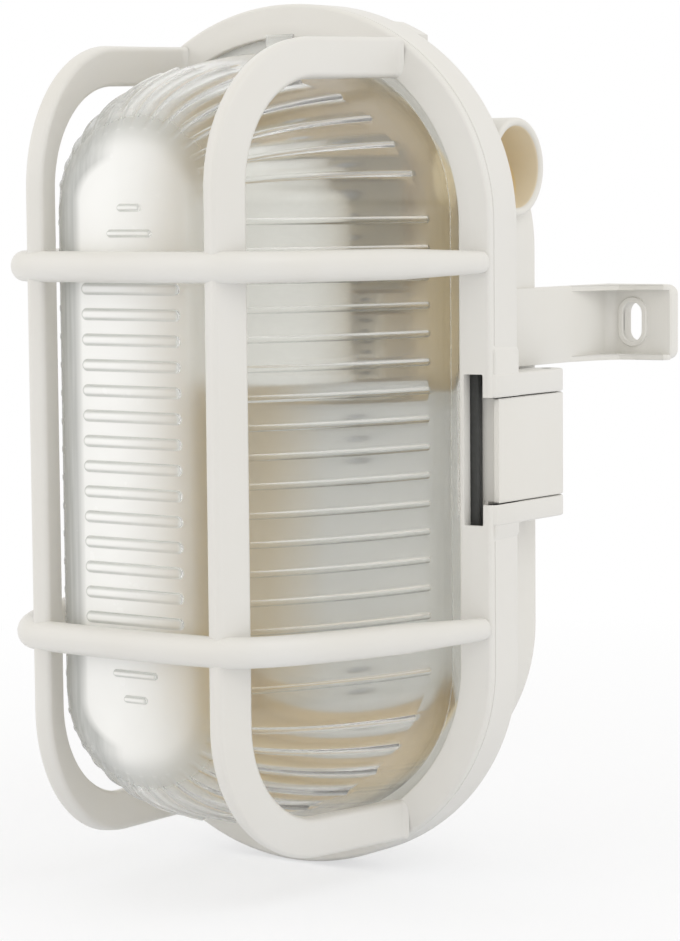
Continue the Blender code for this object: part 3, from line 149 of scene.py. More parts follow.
# Depths of the diffuser's ribs, by the angle round its ends
DIFFUSER_FLANK_LIMIT = 0.0570
END_RIB_SPREAD = 10.93
END_RIB_STARTS = ((0, 0.10), (13.5, 0.13), (24.4, 0.16), (35.3, 0.19), (46.3, 0.23), (57.2, 0.30), (90, 0.44))
FLANK_RIB_START, FLANK_RIB_END = 0.085, 0.80
END_RIB_END = 0.885
RIB_TAPER = 0.90

# Notch in the diffuser's rim behind the hinge window
NOTCH_X = 0.0506
GAP = 0.0003

# Where the finish of the diffuser's flanks gives way to that of its ends
FLANK_END_Z = 0.0575

# Refractive indices
CLEAR_IOR, PLASTIC_IOR, GLAZE_IOR = 1.49, 1.50, 1.52

# The viewpoint, fitted to the photograph: angles in degrees, offsets in metres, focal length in pixels
IMAGE_WIDTH = 680
VIEW_SIDE, VIEW_DROP, VIEW_ROLL = 35.0, 5.07, -0.50
VIEW_RIGHT, VIEW_DOWN, VIEW_DISTANCE = 0.01336, 0.00810, 0.74292
FOCAL_PIXELS = 3006.27
SENSOR_WIDTH = 36.0


def length(name, description, default):
    return FloatProperty(name=name, description=description, default=default, unit='LENGTH', precision=5)


def colour(name, description, default):
    return FloatVectorProperty(
        name=name, description=description, default=default, subtype='COLOR', size=3, min=0.0, max=1.0
    )


class WallLightSizes(bpy.types.PropertyGroup):
    """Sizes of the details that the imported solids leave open."""

    edge_radius: length("Edge radius", "Rounding of the moulded edges", 0.0006)
    guard_face_width: length("Guard face", "Width of the guard ring's face", 0.0070)
    guard_face_fall: length("Face fall", "How far the guard's face slopes back", 0.0011)
    skirt_wall: length("Skirt wall", "Wall thickness of the guard's skirt", 0.0020)
    upright_depth: length("Upright depth", "Depth of the upright bars", 0.0096)
    upright_thickness: length("Upright thickness", "Thickness of the upright bars", 0.0044)
    cross_height: length("Cross bar height", "Height of the cross bars' section", 0.0072)
    cross_depth: length("Cross bar depth", "Depth of the cross bars' section", 0.0064)
    diffuser_depth: length("Diffuser depth", "From the guard's face to the diffuser's front panel", 0.0602)
    diffuser_wall: length("Diffuser wall", "Wall thickness of the diffuser", 0.0020)
    rib_width: length("Rib width", "Width of the ribs on the diffuser's flanks", 0.0015)
    rib_height: length("Rib height", "How far those ribs stand proud", 0.0008)
    panel_rib_height: length("Panel rib height", "How far the front panel's ribs stand proud", 0.0008)


class WallLightFinishes(bpy.types.PropertyGroup):
    """Colours of the finishes."""

    guard_plastic: colour("Guard", "Moulded plastic of the guard", (0.775, 0.775, 0.765))
    base_plastic: colour("Base", "Moulded plastic of the base", (0.780, 0.778, 0.760))
    # This warm tan is painted shade: the ivory plastic as it looks in the shaded hollows inside the base and
    # its cable entries
    base_inside_shade: colour("Base inside", "The base's plastic inside, yellowed by the lamp", (0.88, 0.74, 0.47))
    rubber: colour("Rubber", "Gasket", (0.032, 0.033, 0.032))
    clear: colour("Clear", "Tint of the clear diffuser", (0.975, 0.985, 0.975))
    # Painted light: the white painted on the clear front panel and its ribs for the bright light seen through
    # them
    painted_white: colour("Frost", "Milky face of the diffuser's front panel", (0.985, 0.995, 0.990))
    # Painted shade: grey for the panel ribs' turned-away slopes, the flank ribs' undersides and the panel's
    # far side
    painted_shade: colour("Frost, edges", "The same face where it turns away", (0.40, 0.42, 0.40))
    porcelain: colour("Lampholder", "Glazed body of the lampholder", (0.80, 0.80, 0.77))
    brass: colour("Brass", "Thread, contact, clamps and insert", (0.78, 0.60, 0.30))
    zinc: colour("Zinc", "Plated screws", (0.62, 0.63, 0.64))
    # Yellowish plating tone, darkened as painted shade around the lampholder's bracket
    passivated_and_shaded: colour("Passivated zinc", "Yellowish plating of the bracket", (0.64, 0.58, 0.43))
    aluminium: colour("Aluminium", "Reflector plate", (0.74, 0.75, 0.74))
    # Painted reflection: the warm plastic mirrored in the plate's -X side
    aluminium_painted_reflection: colour("Aluminium, warm side", "The plate, mirroring the plastic", (0.70, 0.60, 0.42))
    nylon: colour("Nylon", "Terminal block", (0.62, 0.57, 0.46))
    floor: colour("Floor", "Studio floor", (0.92, 0.94, 0.99))


# Shader maths

class Socket:
    """An output of a node that takes part in arithmetic: each operation adds one Math node."""

    def __init__(self, finish, output):
        self.finish = finish
        self.output = output

    def combined(self, operation, left, right):
        return self.finish.node('ShaderNodeMath', {"operation": operation}, {0: left, 1: right})

    def __add__(self, other):
        return self.combined('ADD', self, other)

    def __sub__(self, other):
        return self.combined('SUBTRACT', self, other)

    def __rsub__(self, other):
        return self.combined('SUBTRACT', other, self)

    def __mul__(self, other):
        return self.combined('MULTIPLY', self, other)

    def __truediv__(self, other):
        return self.combined('DIVIDE', self, other)

    def __pow__(self, other):
        return self.combined('POWER', self, other)

    def __abs__(self):
        return self.combined('ABSOLUTE', self, 0.0)

    def sign(self):
        return self.combined('SIGN', self, 0.0)

    def highest(self, other):
        return self.combined('MAXIMUM', self, other)

    def clamped(self):
        return self.finish.node('ShaderNodeClamp', {}, {0: self})

    __radd__ = __add__
    __rmul__ = __mul__


class Finish:
    """A material's node tree, written as expressions."""

    def __init__(self, name, tree=None):
        self.material = None
        if tree is None:
            self.material = bpy.data.materials.new(name)
            self.material.use_nodes = True
            tree = self.material.node_tree
        tree.nodes.clear()
        self.tree = tree

    def node(self, kind, settings=None, values=None, output=0):
        """Adds a node: its settings first, then the values or links of its sockets."""
        made = self.tree.nodes.new(kind)
        for name, value in (settings or {}).items():
            if name == "stops":
                self.set_stops(made.color_ramp, value)
            else:
                setattr(made, name, value)
        for key, value in (values or {}).items():
            if isinstance(value, Socket):
                self.tree.links.new(value.output, made.inputs[key])
            else:
                made.inputs[key].default_value = value
        return Socket(self, made.outputs[output])

    @staticmethod
    def set_stops(ramp, stops):
        while len(ramp.elements) < len(stops):
            ramp.elements.new(0.5)
        for element, (position, shade) in zip(ramp.elements, stops):
            element.position = position
            element.color = (*shade, 1.0)

    def place(self):
        return self.node('ShaderNodeTexCoord', output='Object')

    def stretched(self, scale):
        return self.node('ShaderNodeMapping', {}, {'Vector': self.place(), 'Scale': scale})

    def noise(self, vector, scale, detail=3.0, roughness=0.5):
        values = {'Vector': vector, 'Scale': scale, 'Detail': detail, 'Roughness': roughness}
        return self.node('ShaderNodeTexNoise', {}, values, 'Fac')

    def blend(self, factor, low, high):
        """Mixes two colours, given as triples or sockets."""
        values = {'Factor': factor}
        for key, value in ((6, low), (7, high)):
            values[key] = value if isinstance(value, Socket) else (*value, 1.0)
        return self.node('ShaderNodeMix', {"data_type": 'RGBA'}, values, 2)

    def bump(self, height, distance, strength=1.0):
        return self.node('ShaderNodeBump', {}, {'Height': height, 'Distance': distance, 'Strength': strength})

    def principled(self, values):
        return self.node('ShaderNodeBsdfPrincipled', {}, values)

    def coordinates(self):
        """The object's own x, y and z."""
        split = self.node('ShaderNodeSeparateXYZ', {}, {'Vector': self.place()})
        return [Socket(self, split.output.node.outputs[k]) for k in range(3)]

    def facing(self):
        """How far the surface faces along the object's own y and z."""
        normal = self.node('ShaderNodeTexCoord', output='Normal')
        return [self.node('ShaderNodeSeparateXYZ', {}, {'Vector': normal}, axis) for axis in 'YZ']

    def mix(self, factor, first, second):
        return self.node('ShaderNodeMixShader', {}, {0: factor, 1: first, 2: second})

    def light_path(self, name):
        return self.node('ShaderNodeLightPath', output=name)

    def surface(self, shader):
        self.attach(shader)
        return self.material

    def attach(self, shader, kind='ShaderNodeOutputMaterial'):
        made = self.tree.nodes.new(kind)
        self.tree.links.new(shader.output, made.inputs['Surface'])


def scaled(shade, factor):
    return tuple(min(1.0, channel * factor) for channel in shade)


def hollow_shade_mask(finish):
    """Mask of the painted warm shade: 1 inside the base, 0.55 in its cable entries, 0 on the outside."""
    x, y, z = finish.coordinates()
    half_width, half_height, corner = (value - BASE_WALL * 0.6 for value in BASE_OVAL)
    past = (abs(z) - (half_height - corner)).highest(0.0)
    reach = (x / half_width) ** 2.0 + (past / corner) ** 2.0
    inside = ((1.0 - reach) * 40.0 + 0.5).clamped() * ((BASE_FLOOR_Y + 0.0012 - y) * 4000.0).clamped()
    across, up = y - ENTRY_Y, z - x.sign() * ENTRY_Z
    radius = (across ** 2.0 + up ** 2.0) ** 0.5
    bore = ((ENTRY_BORE + 0.0002 - radius) * 8000.0).clamped()
    return inside.highest(bore * 0.55)


def moulded_plastic(name, shade, roughness=0.40, warmth=(1.0, 0.985, 0.95), inside=None):
    """Injection-moulded plastic: faint flow clouds, uneven gloss and a very fine skin, and, given an inside
    colour, painted warm shade in the base's hollows.
    """
    finish = Finish(name)
    place = finish.place()
    clouds = finish.noise(place, 26.0, 3.0)
    flow = finish.noise(finish.stretched((1.0, 1.0, 0.25)), 90.0, 2.0)
    skin = finish.noise(place, 2600.0, 2.0)
    warm = tuple(channel * part for channel, part in zip(scaled(shade, 0.97), warmth))
    tone = (clouds * 0.7 + flow * 0.3 - 0.25) * 1.6
    body = finish.blend(tone.clamped(), warm, scaled(shade, 1.01))
    if inside:
        # Painted warm shade inside the base and in its cable entries
        body = finish.blend(hollow_shade_mask(finish), body, finish.blend(clouds, inside, scaled(inside, 0.94)))
    return finish.surface(finish.principled({
        'Base Color': body,
        'Roughness': roughness + (flow - 0.5) * 0.14,
        'IOR': PLASTIC_IOR,
        'Specular IOR Level': 0.45,
        'Normal': finish.bump(skin * 0.4 + clouds * 0.6, 0.00003, 0.5),
    }))


def clear_plastic(name, tint, painted_white, painted_shade, panel_y):
    """Clear pressed plastic, painted white on its front panel and along its ribs for the light seen through
    them, with painted shade on its far side and rib slopes; lamps and soft light pass it.
    """
    finish = Finish(name)
    place = finish.place()
    waves = finish.noise(place, 55.0, 2.0)
    haze = finish.noise(place, 180.0, 3.0)
    edge = finish.node('ShaderNodeLayerWeight', {}, {'Blend': 0.25}, 'Facing')
    x, y, z = finish.coordinates()
    level, upward = finish.facing()
    level = abs(level)
    panel = ((panel_y + 0.0140 - y) * 75.0).clamped() * level
    past = (abs(z) - PANEL_STRAIGHT).highest(0.0)
    reach = (x / PANEL_HALF_WIDTH) ** 2.0 + (past / (PANEL_HALF_HEIGHT - PANEL_STRAIGHT)) ** 2.0
    # Painted shade: a mask for the panel's far side towards -X, darkened in both the clear and the painted
    # layers
    far_side_shade = ((reach - 0.72) * 4.0).clamped() * ((-0.0040 - x) * 120.0).clamped()
    far_side_shade = far_side_shade * ((panel_y + 0.0220 - y) * 120.0).clamped()
    streaks = finish.noise(finish.stretched((3.0, 3.0, 0.12)), 300.0, 2.0)
    body = finish.blend((edge ** 2.0) * 0.5, tint, scaled(tint, 0.86))
    clear = finish.principled({
        'Base Color': finish.blend(far_side_shade, body, scaled(tint, 0.66)),
        'Roughness': 0.10 + haze * 0.06 + panel * 0.24,
        'IOR': CLEAR_IOR,
        'Transmission Weight': 1.0,
        'Normal': finish.bump(waves, 0.00012, 0.6),
    })
    rib = finish.node('ShaderNodeAttribute', {"attribute_name": "rib"}, output='Fac')
    off_panel = ((y - panel_y - 0.0030) * 500.0).clamped()
    end = ((abs(z) - FLANK_END_Z) * 800.0).clamped() * off_panel
    flank = ((FLANK_END_Z - abs(z)) * 800.0).clamped() * off_panel
    # Painted highlight and shadow on the flank ribs: faces turned up are white, faces turned down are grey
    ribs = (abs(upward) * 1.3 - 0.12).clamped() * flank * 0.60
    rib_light_and_shade = finish.blend((upward * 3.0 + 0.5).clamped(), scaled(painted_shade, 0.72), painted_white)
    # Painted shade on the ribs' slopes: grey where the panel face turns away, the painted white where it lies
    # flat
    face = finish.blend(level ** 7.0, painted_shade, finish.blend(haze, scaled(painted_white, 0.96), painted_white))
    # Painted light on the end ribs, dimmer towards +X
    end_rib_light = finish.blend((x * 60.0 + 0.4).clamped(), scaled(painted_white, 0.94), scaled(painted_white, 0.78))
    ribbed = finish.blend(end, finish.blend(flank, face, rib_light_and_shade), end_rib_light)
    # Painted shade for the far side, in grey streaks
    shade = finish.blend(streaks, scaled(painted_shade, 0.92), scaled(painted_white, 0.74))
    # Painted light: a white layer standing for the bright light seen through the clear panel and along the
    # ribs
    painted_light = finish.principled({
        'Base Color': finish.blend(far_side_shade, ribbed, shade),
        'Roughness': 0.22 + haze * 0.08,
        'IOR': CLEAR_IOR,
    })
    # Share of painted light: strongest on the panel's -X side and fading towards +X
    fade = (0.76 - x * 36.0).clamped()
    # Share of painted light round the diffuser's ends and on their ribs
    end_light_share = ((abs(z) - 0.060) * 40.0).clamped() * (0.6 - x * 30.0).clamped() * 0.36
    end_light_share = end_light_share.highest(end * rib * (0.62 - x * 20.0).highest(0.45))
    painted_light_share = (panel * fade * (0.76 + haze * 0.14)).highest(end_light_share).highest(ribs)
    painted_light_share = painted_light_share.highest(far_side_shade * 0.78).highest(0.06)
    clear_and_painted = finish.mix(painted_light_share, clear, painted_light)
    passing = finish.node('ShaderNodeBsdfTransparent', {}, {'Color': (0.97, 0.97, 0.965, 1.0)})
    lit = finish.light_path('Is Shadow Ray').highest(finish.light_path('Is Diffuse Ray'))
    return finish.surface(finish.mix(lit, clear_and_painted, passing))


def rubber_compound(name, shade):
    finish = Finish(name)
    dust = finish.noise(finish.place(), 700.0, 3.0)
    return finish.surface(finish.principled({
        'Base Color': finish.blend(dust, shade, scaled(shade, 2.2)),
        'Roughness': 0.62 + dust * 0.2,
        'Normal': finish.bump(dust, 0.00006, 0.6),
    }))


def glazed_porcelain(name, shade):
    finish = Finish(name)
    place = finish.place()
    clouds = finish.noise(place, 60.0, 3.0)
    specks = finish.noise(place, 900.0, 2.0)
    body = finish.blend(clouds, scaled(shade, 0.94), shade)
    return finish.surface(finish.principled({
        'Base Color': body,
        'Roughness': 0.22 + specks * 0.10,
        'IOR': GLAZE_IOR,
        'Normal': finish.bump(clouds, 0.00003, 0.3),
    }))


def worked_metal(name, shade, roughness, grain, depth=0.00002, metallic=1.0, painted_reflection=None):
    """Metal with a drawn or turned grain along the given stretch."""
    finish = Finish(name)
    lines = finish.noise(finish.stretched(grain), 900.0, 3.0, 0.6)
    stains = finish.noise(finish.place(), 60.0, 3.0)
    body = finish.blend(stains, scaled(shade, 0.86), scaled(shade, 1.05))
    # Painted reflection: a warm colour on the -X side standing for the plastic mirrored there
    if painted_reflection:
        across = finish.coordinates()[0]
        body = finish.blend(((across + 0.030) * 50.0).clamped(), painted_reflection, body)
    return finish.surface(finish.principled({
        'Base Color': body,
        'Metallic': metallic,
        'Roughness': roughness + (lines - 0.5) * 0.25 + (stains - 0.5) * 0.15,
        'Normal': finish.bump(lines, depth, 0.7),
    }))


# Mesh helpers

def add_loft(builder, rings, loop=False, capped=True):
    """Skins rings with equal numbers of points; a loop joins the last ring to the first."""
    skins = [[builder.verts.new(point) for point in ring] for ring in rings]
    pairs = list(zip(skins, skins[1:]))
    if loop:
        pairs.append((skins[-1], skins[0]))
    elif capped:
        builder.faces.new(skins[0])
        builder.faces.new(skins[-1])
    for near, far in pairs:
        for a, b, c, d in zip(near, near[1:] + near[:1], far[1:] + far[:1], far):
            builder.faces.new((a, b, c, d))
    return skins


def arc(x, y, radius, start, end, steps):
    """Points of an arc between two angles in degrees, both ends included."""
    angles = [radians(start + (end - start) * k / steps) for k in range(steps + 1)]
    return [(x + radius * cos(angle), y + radius * sin(angle)) for angle in angles]


def circle(x, y, radius, steps=48):
    return arc(x, y, radius, 0, 360 * (steps - 1) / steps, steps - 1)


def rounded_outline(points, radius, steps=4):
    """Rounds each corner of a convex or concave outline; radius may be one value or one for each corner."""
    result = []
    count = len(points)
    radii = radius if isinstance(radius, (list, tuple)) else [radius] * count
    for k in range(count):
        here = Vector(points[k])
        before = Vector(points[k - 1]) - here
        after = Vector(points[(k + 1) % count]) - here
        reach = min(radii[k], before.length * 0.45, after.length * 0.45)
        if reach < 1e-6:
            result.append(tuple(here))
            continue
        start, end = here + before.normalized() * reach, here + after.normalized() * reach
        for step in range(steps + 1):
            t = step / steps
            point = start * (1 - t) ** 2 + here * (2 * t * (1 - t)) + end * t ** 2
            result.append(tuple(point))
    return result


def set_axis(axis):
    return {
        'Z': lambda a, b, level: (a, b, level),
        'Y': lambda a, b, level: (a, level, b),
        'X': lambda a, b, level: (level, a, b),
    }[axis]


def prism(outline, low, high, axis='Z'):
    """A new bmesh with an outline extruded along an axis."""
    builder = bmesh.new()
    place = set_axis(axis)
    add_loft(builder, [[place(a, b, level) for a, b in outline] for level in (low, high)])
    return builder


def cushion(outline, low, high, axis='Z', radius=0.0006, steps=3):
    """An extruded convex outline whose two end edges are rounded by insetting towards its middle."""
    builder = bmesh.new()
    place = set_axis(axis)
    turn = 1 if low < high else -1
    middle = Vector((sum(a for a, b in outline), sum(b for a, b in outline))) / len(outline)
    rings = []
    for end, direction in ((low, turn), (high, -turn)):
        levels = []
        for k in range(steps + 1):
            angle = pi / 2 * k / steps
            inset = radius * (1 - sin(angle))
            level = end + direction * radius * (1 - cos(angle))
            ring = [inset_point(outline, n, inset, middle) for n in range(len(outline))]
            levels.append([place(a, b, level) for a, b in ring])
        rings += levels if end == low else levels[::-1]
    add_loft(builder, rings)
    return builder


def inset_point(outline, n, inset, middle):
    """A point of an outline moved inwards along the mean normal of its two edges."""
    here = Vector(outline[n])
    before = (here - Vector(outline[n - 1])).normalized()
    after = (Vector(outline[(n + 1) % len(outline)]) - here).normalized()
    normal = Vector((-(before + after).y, (before + after).x))
    if normal.length < 1e-9:
        return tuple(here)
    normal.normalize()
    if normal.dot(middle - here) < 0:
        normal = -normal
    return tuple(here + normal * inset)


def turned(profile, axis='Z', centre=(0.0, 0.0), steps=64):
    """Turns (radius, level) points about an axis through a centre."""
    builder = bmesh.new()
    place = set_axis(axis)
    rings = []
    for radius, level in profile:
        rings.append([place(a, b, level) for a, b in circle(centre[0], centre[1], radius, steps)])
    add_loft(builder, rings)
    return builder


def merge(target, source):
    """Adds the geometry of one bmesh to another and frees the first."""
    carried = bpy.data.meshes.new("carried")
    source.to_mesh(carried)
    source.free()
    target.from_mesh(carried)
    bpy.data.meshes.remove(carried)


def carved(builder, *tools):
    """The bmesh with closed tools cut out of it, or the same bmesh where there is no tool."""
    bmesh.ops.recalc_face_normals(builder, faces=builder.faces)
    body = temporary("carved_body", builder)
    guides = []
    for tool in tools:
        bmesh.ops.recalc_face_normals(tool, faces=tool.faces)
        guides.append(temporary("carving_tool", tool))
        modifier = body.modifiers.new("carve", 'BOOLEAN')
        modifier.operation = 'DIFFERENCE'
        modifier.solver = 'EXACT'
        modifier.object = guides[-1]
    bpy.context.view_layer.update()
    graph = bpy.context.evaluated_depsgraph_get()
    result = bmesh.new()
    result.from_object(body, graph)
    for thing in [body] + guides:
        mesh = thing.data
        bpy.data.objects.remove(thing, do_unlink=True)
        bpy.data.meshes.remove(mesh)
    return result


def temporary(name, builder):
    mesh = bpy.data.meshes.new(name)
    builder.to_mesh(mesh)
    builder.free()
    thing = bpy.data.objects.new(name, mesh)
    bpy.context.scene.collection.objects.link(thing)
    return thing


def add_piece(name, builder, material, body, replaced=(), sharp=38.0):
    """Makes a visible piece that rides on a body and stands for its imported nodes."""
    bmesh.ops.recalc_face_normals(builder, faces=builder.faces)
    mesh = bpy.data.meshes.new(name)
    builder.to_mesh(mesh)
    builder.free()
    mesh.shade_smooth()
    mesh.set_sharp_from_angle(angle=radians(sharp))
    mesh.materials.append(material)
    piece = bpy.data.objects.new(name, mesh)
    bpy.context.scene.collection.objects.link(piece)
    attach(piece, body)
    if replaced:
        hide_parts(*replaced)
    return piece


def dress(node, material):
    """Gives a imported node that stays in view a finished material."""
    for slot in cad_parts[node].material_slots:
        slot.material = material


def oval(size, offset, y, steps=36):
    """An upright oval of a given size, grown by an offset."""
    half_width, half_height, corner = (value + offset for value in size)
    straight = half_height - corner
    quarter = [k * pi / 2 / steps for k in range(steps + 1)]
    upper = [(half_width * cos(t), straight + corner * sin(t)) for t in quarter]
    top = upper + [(-x, z) for x, z in upper[-2::-1]]
    return [(x, y, z) for x, z in top + [(-x, -z) for x, z in top]]


def bezier(points, t):
    """A point on a cubic curve."""
    u = 1 - t
    weights = (u ** 3, 3 * u * u * t, 3 * u * t * t, t ** 3)
    return [sum(w * p for w, p in zip(weights, values)) for values in zip(*points)]


def mirrored(outline):
    return [(-a, b) for a, b in outline]


# Base

def foot_builder(side):
    """One stand-off foot: arm, bend, flange with a rimmed slot, and the two thin webs."""
    outer, tip = FOOT_ARM_X, FOOT_TIP_X
    thickness, flange = FOOT_ARM_THICKNESS, 0.0040
    inner = outer - thickness
    middle = side * FOOT_HEIGHT
    low, high = middle - FOOT_WIDTH / 2, middle + FOOT_WIDTH / 2
    turn = (lambda outline: outline) if side > 0 else mirrored
    bend = arc(outer + 0.0030, -flange - 0.0030, 0.0030, 180, 90, 8)
    plan = [(inner, -0.0505), (outer, -0.0505)] + bend
    plan += [(tip - 0.0004, -flange), (tip, -flange + 0.0004), (tip, -0.0005)]
    plan += [(tip - 0.0005, 0.0), (inner + 0.0005, 0.0), (inner, -0.0005)]
    arm = prism(turn(plan), low, high)
    corners = [edge for edge in arm.edges
               if abs(edge.verts[0].co.x) > tip - 0.0006 and abs(edge.verts[1].co.x) > tip - 0.0006
               and abs(edge.verts[0].co.z - edge.verts[1].co.z) < 1e-6]
    bmesh.ops.bevel(arm, geom=corners, offset=0.0024, segments=6, profile=0.5, affect='EDGES')
    slot_x = side * FOOT_SLOT_X
    slot = slot_outline(slot_x, middle, FOOT_SLOT_WIDTH, FOOT_SLOT_HEIGHT)
    foot = carved(arm, prism(slot, -0.02, 0.01, 'Y'))
    soft = [edge for edge in foot.edges if len(edge.link_faces) == 2 and edge.calc_face_angle() > radians(50)]
    rounding = {"offset": 0.0004, "segments": 2, "profile": 0.6, "affect": 'EDGES', "clamp_overlap": True}
    bmesh.ops.bevel(foot, geom=soft, **rounding)
    rim = bmesh.new()
    rings = []
    for width, y in ((0.0, -flange + 0.0005), (0.0, -flange - 0.0004), (0.0002, -flange - 0.0006),
                     (0.0011, -flange - 0.0006), (0.0013, -flange - 0.0004), (0.0015, -flange + 0.0005)):
        ring = slot_outline(slot_x, middle, FOOT_SLOT_WIDTH + 2 * width, FOOT_SLOT_HEIGHT + 2 * width)
        rings.append([(x, y, z) for x, z in ring])
    add_loft(rim, rings, loop=True)
    merge(foot, rim)
    for bottom in (low, high - 0.0014):
        web = [(outer - 0.0003, -0.0240), (outer + 0.0013, -0.0160), (outer + 0.0030, -0.0110),
               (outer + 0.0052, -0.0078), (outer + 0.0090, -0.0065), (tip - 0.0010, -0.0062),
               (tip - 0.0003, -0.0056), (tip - 0.0003, -0.0037), (outer - 0.0003, -0.0037)]
        merge(foot, cushion(turn(web), bottom, bottom + 0.0014, radius=0.0003, steps=2))
    return foot


def slot_outline(x, z, width, height, steps=12):
    radius = width / 2
    rise = height / 2 - radius
    return arc(x, z + rise, radius, 0, 180, steps) + arc(x, z - rise, radius, 180, 360, steps)


def entry_builder(side):
    """The round cable entry with its thin membrane."""
    tip, floor = ENTRY_TIP_X, ENTRY_FLOOR_X
    lip = 0.0009
    profile = [(ENTRY_OUTER, floor - 0.0012)]
    profile += [(ENTRY_OUTER - lip + lip * cos(a), tip - lip + lip * sin(a)) for a in quarter_turn(5)]
    edge = (ENTRY_OUTER - lip) - ENTRY_BORE
    profile += [(ENTRY_BORE + edge * (1 - sin(a)), tip - edge * (1 - cos(a))) for a in quarter_turn(4)][1:]
    profile += [(ENTRY_BORE - 0.0002, floor + 0.0005), (ENTRY_BORE - 0.0008, floor)]
    profile += [(0.0030, floor), (0.0026, floor + 0.0003), (0.0005, floor + 0.0003)]
    place = [(radius, side * level) for radius, level in profile]
    return turned(place, 'X', (ENTRY_Y, side * ENTRY_Z), 96)


def quarter_turn(steps):
    return [pi / 2 * k / steps for k in range(steps + 1)]


def base_builder(sizes):
    """The housing with its feet, cable entries, hinge knuckle and closing post."""
    reach = 0.0044
    flange_back = BASE_RIM_Y + 0.0025
    radius = 0.0020
    rings = [oval(BASE_OVAL, -radius * (1 - sin(a)), BASE_BACK_Y - radius * (1 - cos(a)))
             for a in quarter_turn(5)]
    rings += [oval(BASE_OVAL, 0.0005, flange_back + 0.0006)]
    rings += [oval(BASE_OVAL, 0.0006, flange_back + 0.0003)]
    rings += [oval(OPENING_OVAL, reach - 0.0003, flange_back)]
    rings += [oval(OPENING_OVAL, reach, flange_back - 0.0003)]
    rings += [oval(OPENING_OVAL, reach, BASE_RIM_Y)]
    rings += [oval(BASE_OVAL, 0.0005 - BASE_WALL, BASE_RIM_Y)]
    inner = 0.0015
    rings += [oval(BASE_OVAL, -BASE_WALL - inner * (1 - cos(a)), BASE_FLOOR_Y - inner * (1 - sin(a)))
              for a in quarter_turn(5)]
    shell = bmesh.new()
    add_loft(shell, rings)
    bores = []
    for side in (1, -1):
        mouth = circle(ENTRY_Y, side * ENTRY_Z, ENTRY_BORE + 0.0004, 64)
        bores.append(prism(mouth, side * ENTRY_FLOOR_X, side * 0.07, 'X'))
    base = carved(shell, *bores)
    for side in (1, -1):
        merge(base, entry_builder(side))
        merge(base, foot_builder(side))

    inside = BASE_OVAL[0] - BASE_WALL / 2
    barrel = arc(HINGE_X, HINGE_Y, EAR_THICKNESS / 2, 0, 180, 20)
    leaf_front, lip_front = BASE_RIM_Y - 0.0001, BASE_RIM_Y - 0.0020
    leaf = rounded_outline([
        (inside, leaf_front),
        (EAR_OUTER_X - 0.0020, leaf_front),
        (EAR_OUTER_X - 0.0020, lip_front),
        (EAR_OUTER_X, lip_front),
    ], [0.0, 0.0003, 0.0004, 0.0008])
    leaf += [(x, y) for x, y in barrel] + [(inside, HINGE_Y)]
    merge(base, cushion(leaf, KNUCKLE_LOW, KNUCKLE_HIGH, radius=0.0004))

    post_front = SKIRT_BACK_Y + 0.0003
    post_back = post_front + 0.0110
    lug = [(-inside, -CLOSING_RADIUS)] + [(-inside, CLOSING_RADIUS)]
    lug += arc(CLOSING_X, 0.0, CLOSING_RADIUS, 90, 270, 20)
    post = cushion(lug, post_front, post_back, 'Y', sizes.edge_radius)
    bore = turned([(0.0023, post_back + 0.001), (0.0023, post_front + 0.0083), (0.0036, post_front + 0.0083),
                   (0.0036, post_front - 0.001)], 'Y', (CLOSING_X, 0.0), 40)
    merge(base, carved(post, bore))

    for x, z, front, post_radius in inner_posts():
        profile = [
            (post_radius + 0.0006, BASE_FLOOR_Y + 0.001),
            (post_radius + 0.0003, BASE_FLOOR_Y - 0.0006),
            (post_radius, BASE_FLOOR_Y - 0.0015),
            (post_radius, front + 0.0003),
            (post_radius - 0.0003, front),
            (0.0020, front),
            (0.0020, front + 0.0040),
        ]
        merge(base, turned(profile, 'Y', (x, z), 40))
    return base


def inner_posts():
    """Places of the posts on the base's floor: x, z, level of the top and radius."""
    posts = [(0.0, z, BASE_FLOOR_Y - 0.0050, 0.0040) for z in BRACKET_SCREWS_Z]
    posts += [(0.0, z, BASE_FLOOR_Y - REFLECTOR_POST, 0.0036) for z in REFLECTOR_SCREWS_Z]
    return posts


# Guard

def ring_section(sizes):
    """Section of the guard ring as (offset, y): inner edge, sloped face, shoulder, groove and skirt."""
    face, fall, wall = sizes.guard_face_width, sizes.guard_face_fall, sizes.skirt_wall
    front = GUARD_FRONT_Y
    shoulder = 0.0012
    lip = 0.0005
    points = [(0.0, GUARD_Y + 0.0001), (0.0, front + lip)]
    points += [(lip * (1 - cos(a)), front + lip * (1 - sin(a))) for a in quarter_turn(4)][1:]
    points += [(face * 0.5, front + fall * 0.42), (face, front + fall)]
    points += [(face + shoulder * sin(a), front + fall + shoulder * (1 - cos(a)))
               for a in quarter_turn(6)[1:]]
    groove = front + fall + shoulder
    outer = face + shoulder
    points += [(outer, groove + 0.0003), (outer - 0.00025, groove + 0.00045)]
    points += [(outer - 0.00025, groove + 0.0006)]
    points += [(outer + 0.00005, groove + 0.00075), (outer + 0.0002, SKIRT_BACK_Y - 0.0005)]
    edge = 0.0005
    points += [(outer + 0.0002 - edge * (1 - cos(a)), SKIRT_BACK_Y - edge * (1 - sin(a)))
               for a in quarter_turn(4)[1:]]
    inner = outer + 0.0002 - wall
    points += [(inner + edge * (1 - sin(a)), SKIRT_BACK_Y - edge * (1 - cos(a))) for a in quarter_turn(4)]
    points += [(inner - 0.0002, GUARD_Y + 0.0012), (inner - 0.0005, GUARD_Y + 0.0004)]
    points += [(inner - 0.0013, GUARD_Y + 0.0001)]
    return points


def rounded_section(half_thickness, half_depth, edge, steps=5):
    """A rectangle with rounded corners, as (across, along) pairs."""
    points = []
    for across, along, start in ((1, 1, 0), (-1, 1, 90), (-1, -1, 180), (1, -1, 270)):
        centre = (across * (half_thickness - edge), along * (half_depth - edge))
        points += arc(centre[0], centre[1], edge, start, start + 90, steps)
    return points


